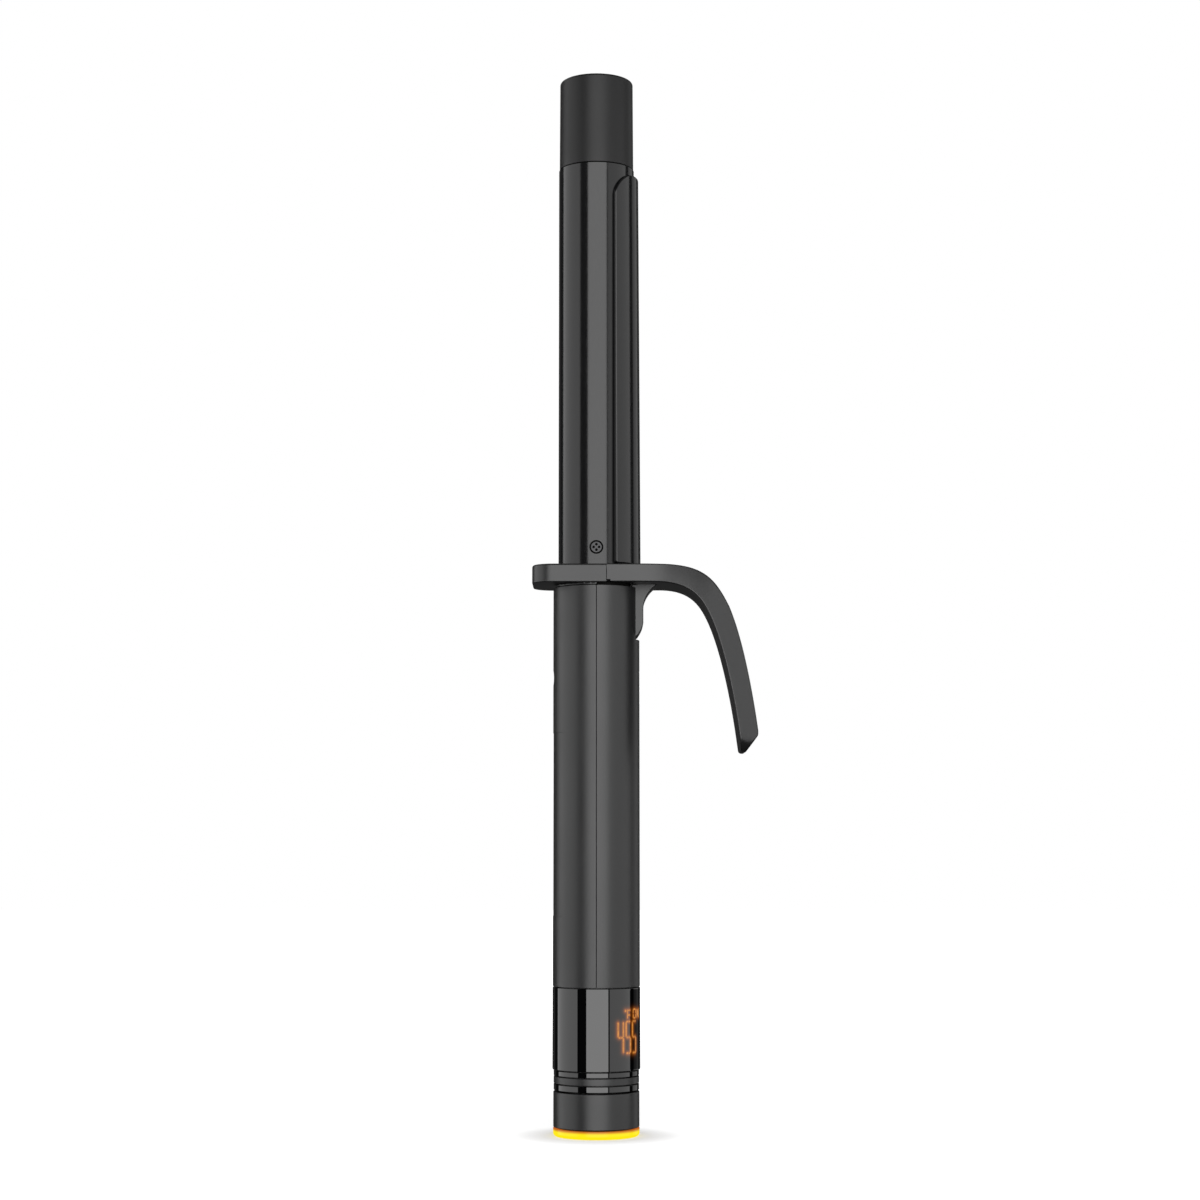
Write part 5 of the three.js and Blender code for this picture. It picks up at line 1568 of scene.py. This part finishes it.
def return_spring(sizes):
    """A leg up to the coil, the coil round the pin, and an arm out to the lever."""
    low, high = corners("pivot_pin")
    pivot_x, pivot_z = (low.x + high.x) / 2, (low.z + high.z) / 2
    radius, half, turns, leg, arm = 2.6, 2.3, 3.25, 6.5, 3.4
    coil = 2 * math.pi * radius * turns
    travels = np.concatenate([[0], leg + np.linspace(0, coil, 160), [leg + coil + arm]])
    points = []
    for travel in travels:
        wound = min(max(travel - leg, 0), coil)
        angle = math.pi - wound / radius
        points.append((
            pivot_x + radius * math.cos(angle) + max(travel - leg - coil, 0) + AXIS_X,
            half * (2 * wound / coil - 1),
            pivot_z + radius * math.sin(angle) + min(travel - leg, 0),
        ))
    mesh = bpy.data.meshes.new("return_spring_wire")
    edges = [(index, index + 1) for index in range(len(points) - 1)]
    mesh.from_pydata([Vector(point) * MM for point in points], edges, [])
    base = bpy.data.objects.new("return_spring_wire", mesh)
    bpy.context.scene.collection.objects.link(base)
    values = {"Wire Radius": sizes.wire, "Segments": 16, "Finish": material("bright_steel")}
    spring = facing_out(grown("return_spring_wire", wire_tree(), values, base))
    return finished(crisp(spring), "bright_steel", "clamp", "return_spring")


def inner_works():
    """Gives each CAD node that still shows the finish of its own slot."""
    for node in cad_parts.values():
        slots = [slot.material.name.split(".")[0] for slot in node.material_slots if slot.material]
        finish = slots[0] if slots else "insulator"
        for slot in node.material_slots:
            slot.material = material(finish)


# ---- Stage -----------------------------------------------------------------------------------


def panel(name, azimuth, width_angle, distance, low, high, radiance):
    """An upright light panel round the object; azimuth is measured from the front towards +X."""
    across = 2 * distance * math.tan(math.radians(width_angle) / 2)
    lamp = bpy.data.lights.new(name, "AREA")
    lamp.shape = "RECTANGLE"
    lamp.size, lamp.size_y = across, high - low
    lamp.energy = radiance * math.pi * across * (high - low)
    light = bpy.data.objects.new(name, lamp)
    angle = math.radians(azimuth)
    place = Vector((AXIS_X * MM + distance * math.sin(angle), -distance * math.cos(angle), (low + high) / 2))
    light.location = place
    aim = Vector((AXIS_X * MM, 0, place.z)) - place
    light.rotation_euler = aim.to_track_quat("-Z", "Y").to_euler()
    light.visible_camera = False
    bpy.context.scene.collection.objects.link(light)
    return light


def stage(lights):
    scene = bpy.context.scene
    scene.view_settings.view_transform = "Standard"
    scene.view_settings.look = "None"
    camera_data = bpy.data.cameras.new("camera")
    camera_data.lens = 72.42
    camera_data.sensor_width = 36.0
    camera = bpy.data.objects.new("camera", camera_data)
    camera.location = (-0.0148, -0.803, 0.0926)
    camera.rotation_euler = (math.radians(95.93), 0, 0)
    scene.collection.objects.link(camera)
    scene.camera = camera
    panel("front_panel", 2.7, 57.4, 1.2, -0.3, 1.0, lights.front)
    panel("left_panel", -86.0, 71.0, 1.2, -0.3, 1.0, lights.left)
    panel("right_panel", 68.0, 66.0, 1.2, -0.3, 1.0, lights.right)
    panel("right_strip", 128.5, 27.0, 1.2, -0.3, 1.0, lights.strip)
    panel("back_left_panel", -150.0, 36.0, 1.2, 1.1, 1.9, lights.back)
    panel("back_right_panel", 165.0, 36.0, 1.2, 1.1, 1.9, lights.back)
    panel("rear_panel", 180.0, 80.0, 1.3, -0.6, 1.0, lights.rear)
    top = panel("top_panel", 0.0, 30.0, 1.4, 0.0, 1.0, lights.top)
    top.location = (AXIS_X * MM, 0.0, 1.5)
    top.rotation_euler = (0, 0, 0)

    half = 3.0
    mesh = bpy.data.meshes.new("floor")
    mesh.from_pydata([(-half, -half, 0), (half, -half, 0), (half, half, 0), (-half, half, 0)], [], [range(4)])
    floor = bpy.data.objects.new("floor", mesh)
    scene.collection.objects.link(floor)
    floor.location = (AXIS_X * MM, 0.0, -0.00002)
    made, tree, shader, place = start_material("floor_white", specular=0.0)
    cloud = noise(tree, place, 3.0)
    tone = mixed(tree, cloud, (lights.floor_tone * 0.98,) * 3, (lights.floor_tone,) * 3)
    connect(tree, shader, tone, spread(tree, cloud, 0.9, 1.0))
    reach = tree.add("ShaderNodeVectorMath", {0: place}, operation="LENGTH").outputs["Value"]
    shader.inputs["Emission Color"].default_value = (1.0, 1.0, 1.0, 1.0)
    # The floor's light is lowered just round the ring's edge: a painted contact shadow about the base, rising
    # to the full floor light further out.
    base = radius_of("light_ring") * MM
    near = spread(tree, reach, lights.floor, lights.floor + 0.38, base - 0.001, base + 0.014)
    light = tree.math("ADD", near, spread(tree, reach, 0.0, 0.5, 0.1, 0.6))
    tree.tree.links.new(light.outputs[0], shader.inputs["Emission Strength"])
    mesh.materials.append(made)
    floor.visible_glossy = False
    floor.visible_diffuse = False
    floor.visible_shadow = False

    world = bpy.data.worlds.new("studio")
    world.use_nodes = True
    world.node_tree.nodes.clear()
    tree = Tree(world.node_tree)
    seen = tree.add("ShaderNodeLightPath").outputs["Is Camera Ray"]
    dim = tree.add("ShaderNodeBackground", {"Color": (0.02, 0.02, 0.02, 1.0), "Strength": 1.0})
    bright = tree.add("ShaderNodeBackground", {"Color": (1.0, 1.0, 1.0, 1.0), "Strength": 1.0})
    blend = tree.add("ShaderNodeMixShader", {0: seen, 1: dim, 2: bright})
    tree.add("ShaderNodeOutputWorld", {"Surface": blend})
    scene.world = world


# ---- Operators -------------------------------------------------------------------------------


class IRON_OT_light_ring(bpy.types.Operator):
    """Build the lit ring that the iron stands on"""
    bl_idname = "iron.light_ring"
    bl_label = "Light Ring"

    def execute(self, context):
        light_ring(context.scene.iron_base)
        return {"FINISHED"}


class IRON_OT_base(bpy.types.Operator):
    """Build the base plate, its screws and the swivel cord gland"""
    bl_idname = "iron.base"
    bl_label = "Base Plate and Cord Gland"

    def execute(self, context):
        base_plate()
        base_screws()
        cord_gland(context.scene.iron_base)
        return {"FINISHED"}


class IRON_OT_dial(bpy.types.Operator):
    """Build the temperature dial"""
    bl_idname = "iron.dial"
    bl_label = "Temperature Dial"

    def execute(self, context):
        dial(context.scene.iron_base)
        return {"FINISHED"}


class IRON_OT_neck_bands(bpy.types.Operator):
    """Build the three neck bands"""
    bl_idname = "iron.neck_bands"
    bl_label = "Neck Bands"

    def execute(self, context):
        neck_bands(context.scene.iron_base)
        return {"FINISHED"}


class IRON_OT_display(bpy.types.Operator):
    """Build the display sleeve with its window and digits"""
    bl_idname = "iron.display"
    bl_label = "Display"

    def execute(self, context):
        display_sleeve(context.scene.iron_display)
        display_digits(context.scene.iron_display)
        return {"FINISHED"}


class IRON_OT_handle(bpy.types.Operator):
    """Build the two handle shells and the handle's screw"""
    bl_idname = "iron.handle"
    bl_label = "Handle"

    def execute(self, context):
        handle_shells(context.scene.iron_handle)
        handle_screw()
        return {"FINISHED"}


class IRON_OT_buttons(bpy.types.Operator):
    """Build the power and unit buttons"""
    bl_idname = "iron.buttons"
    bl_label = "Buttons"

    def execute(self, context):
        button_cap("power_button", power_mark, context.scene.iron_handle)
        button_cap("unit_button", unit_mark, context.scene.iron_handle)
        return {"FINISHED"}


class IRON_OT_barrel(bpy.types.Operator):
    """Build the heated barrel"""
    bl_idname = "iron.barrel"
    bl_label = "Barrel"

    def execute(self, context):
        barrel(context.scene.iron_barrel)
        return {"FINISHED"}


class IRON_OT_barrel_screws(bpy.types.Operator):
    """Build the two cross-head screws of the barrel"""
    bl_idname = "iron.barrel_screws"
    bl_label = "Barrel Screws"

    def execute(self, context):
        barrel_screws()
        return {"FINISHED"}


class IRON_OT_cool_tip(bpy.types.Operator):
    """Build the cool tip"""
    bl_idname = "iron.cool_tip"
    bl_label = "Cool Tip"

    def execute(self, context):
        cool_tip(context.scene.iron_barrel)
        return {"FINISHED"}


class IRON_OT_guard(bpy.types.Operator):
    """Build the fixed half of the finger guard"""
    bl_idname = "iron.guard"
    bl_label = "Finger Guard"

    def execute(self, context):
        finger_guard(context.scene.iron_grip)
        return {"FINISHED"}


class IRON_OT_lever(bpy.types.Operator):
    """Build the thumb lever with its web"""
    bl_idname = "iron.lever"
    bl_label = "Thumb Lever"

    def execute(self, context):
        thumb_lever(context.scene.iron_grip)
        return {"FINISHED"}


class IRON_OT_clamp(bpy.types.Operator):
    """Build the clamp plate"""
    bl_idname = "iron.clamp"
    bl_label = "Clamp Plate"

    def execute(self, context):
        clamp_plate(context.scene.iron_grip)
        return {"FINISHED"}


class IRON_OT_pivot(bpy.types.Operator):
    """Build the pivot pin and the return spring"""
    bl_idname = "iron.pivot"
    bl_label = "Pivot and Spring"

    def execute(self, context):
        pivot_pin()
        return_spring(context.scene.iron_grip)
        return {"FINISHED"}


class IRON_OT_inner_works(bpy.types.Operator):
    """Finish the pieces inside"""
    bl_idname = "iron.inner_works"
    bl_label = "Inner Works"

    def execute(self, context):
        inner_works()
        return {"FINISHED"}


class IRON_OT_stage(bpy.types.Operator):
    """Set the floor, the lights and the camera"""
    bl_idname = "iron.stage"
    bl_label = "Stage"

    def execute(self, context):
        stage(context.scene.iron_lights)
        return {"FINISHED"}


OPERATORS = (
    IRON_OT_stage, IRON_OT_light_ring, IRON_OT_base, IRON_OT_dial, IRON_OT_neck_bands, IRON_OT_display,
    IRON_OT_handle, IRON_OT_buttons, IRON_OT_barrel, IRON_OT_barrel_screws, IRON_OT_cool_tip,
    IRON_OT_guard, IRON_OT_lever, IRON_OT_clamp, IRON_OT_pivot, IRON_OT_inner_works,
)
GROUPS = {
    "iron_looks": IronLooks, "iron_base": BaseSizes, "iron_display": DisplaySizes, "iron_handle": HandleSizes,
    "iron_barrel": BarrelSizes, "iron_grip": GripSizes, "iron_lights": StageLights,
}


class IRON_PT_pieces(bpy.types.Panel):
    """Lists the operators and the settings"""
    bl_label = "Curling Iron"
    bl_idname = "IRON_PT_pieces"
    bl_space_type = "VIEW_3D"
    bl_region_type = "UI"
    bl_category = "Curling Iron"

    def draw(self, context):
        for operator in OPERATORS:
            self.layout.operator(operator.bl_idname)
        for name, group in GROUPS.items():
            box = self.layout.box()
            for setting in group.__annotations__:
                box.prop(getattr(context.scene, name), setting)


def register():
    for group in GROUPS.values():
        bpy.utils.register_class(group)
    for name, group in GROUPS.items():
        setattr(bpy.types.Scene, name, PointerProperty(type=group))
    for operator in OPERATORS:
        bpy.utils.register_class(operator)
    bpy.utils.register_class(IRON_PT_pieces)


def unregister():
    bpy.utils.unregister_class(IRON_PT_pieces)
    for operator in reversed(OPERATORS):
        bpy.utils.unregister_class(operator)
    for name, group in GROUPS.items():
        delattr(bpy.types.Scene, name)
        bpy.utils.unregister_class(group)


def main():
    register()
    for operator in OPERATORS:
        area, action = operator.bl_idname.split(".")
        getattr(getattr(bpy.ops, area), action)()


if __name__ == "__main__":
    main()
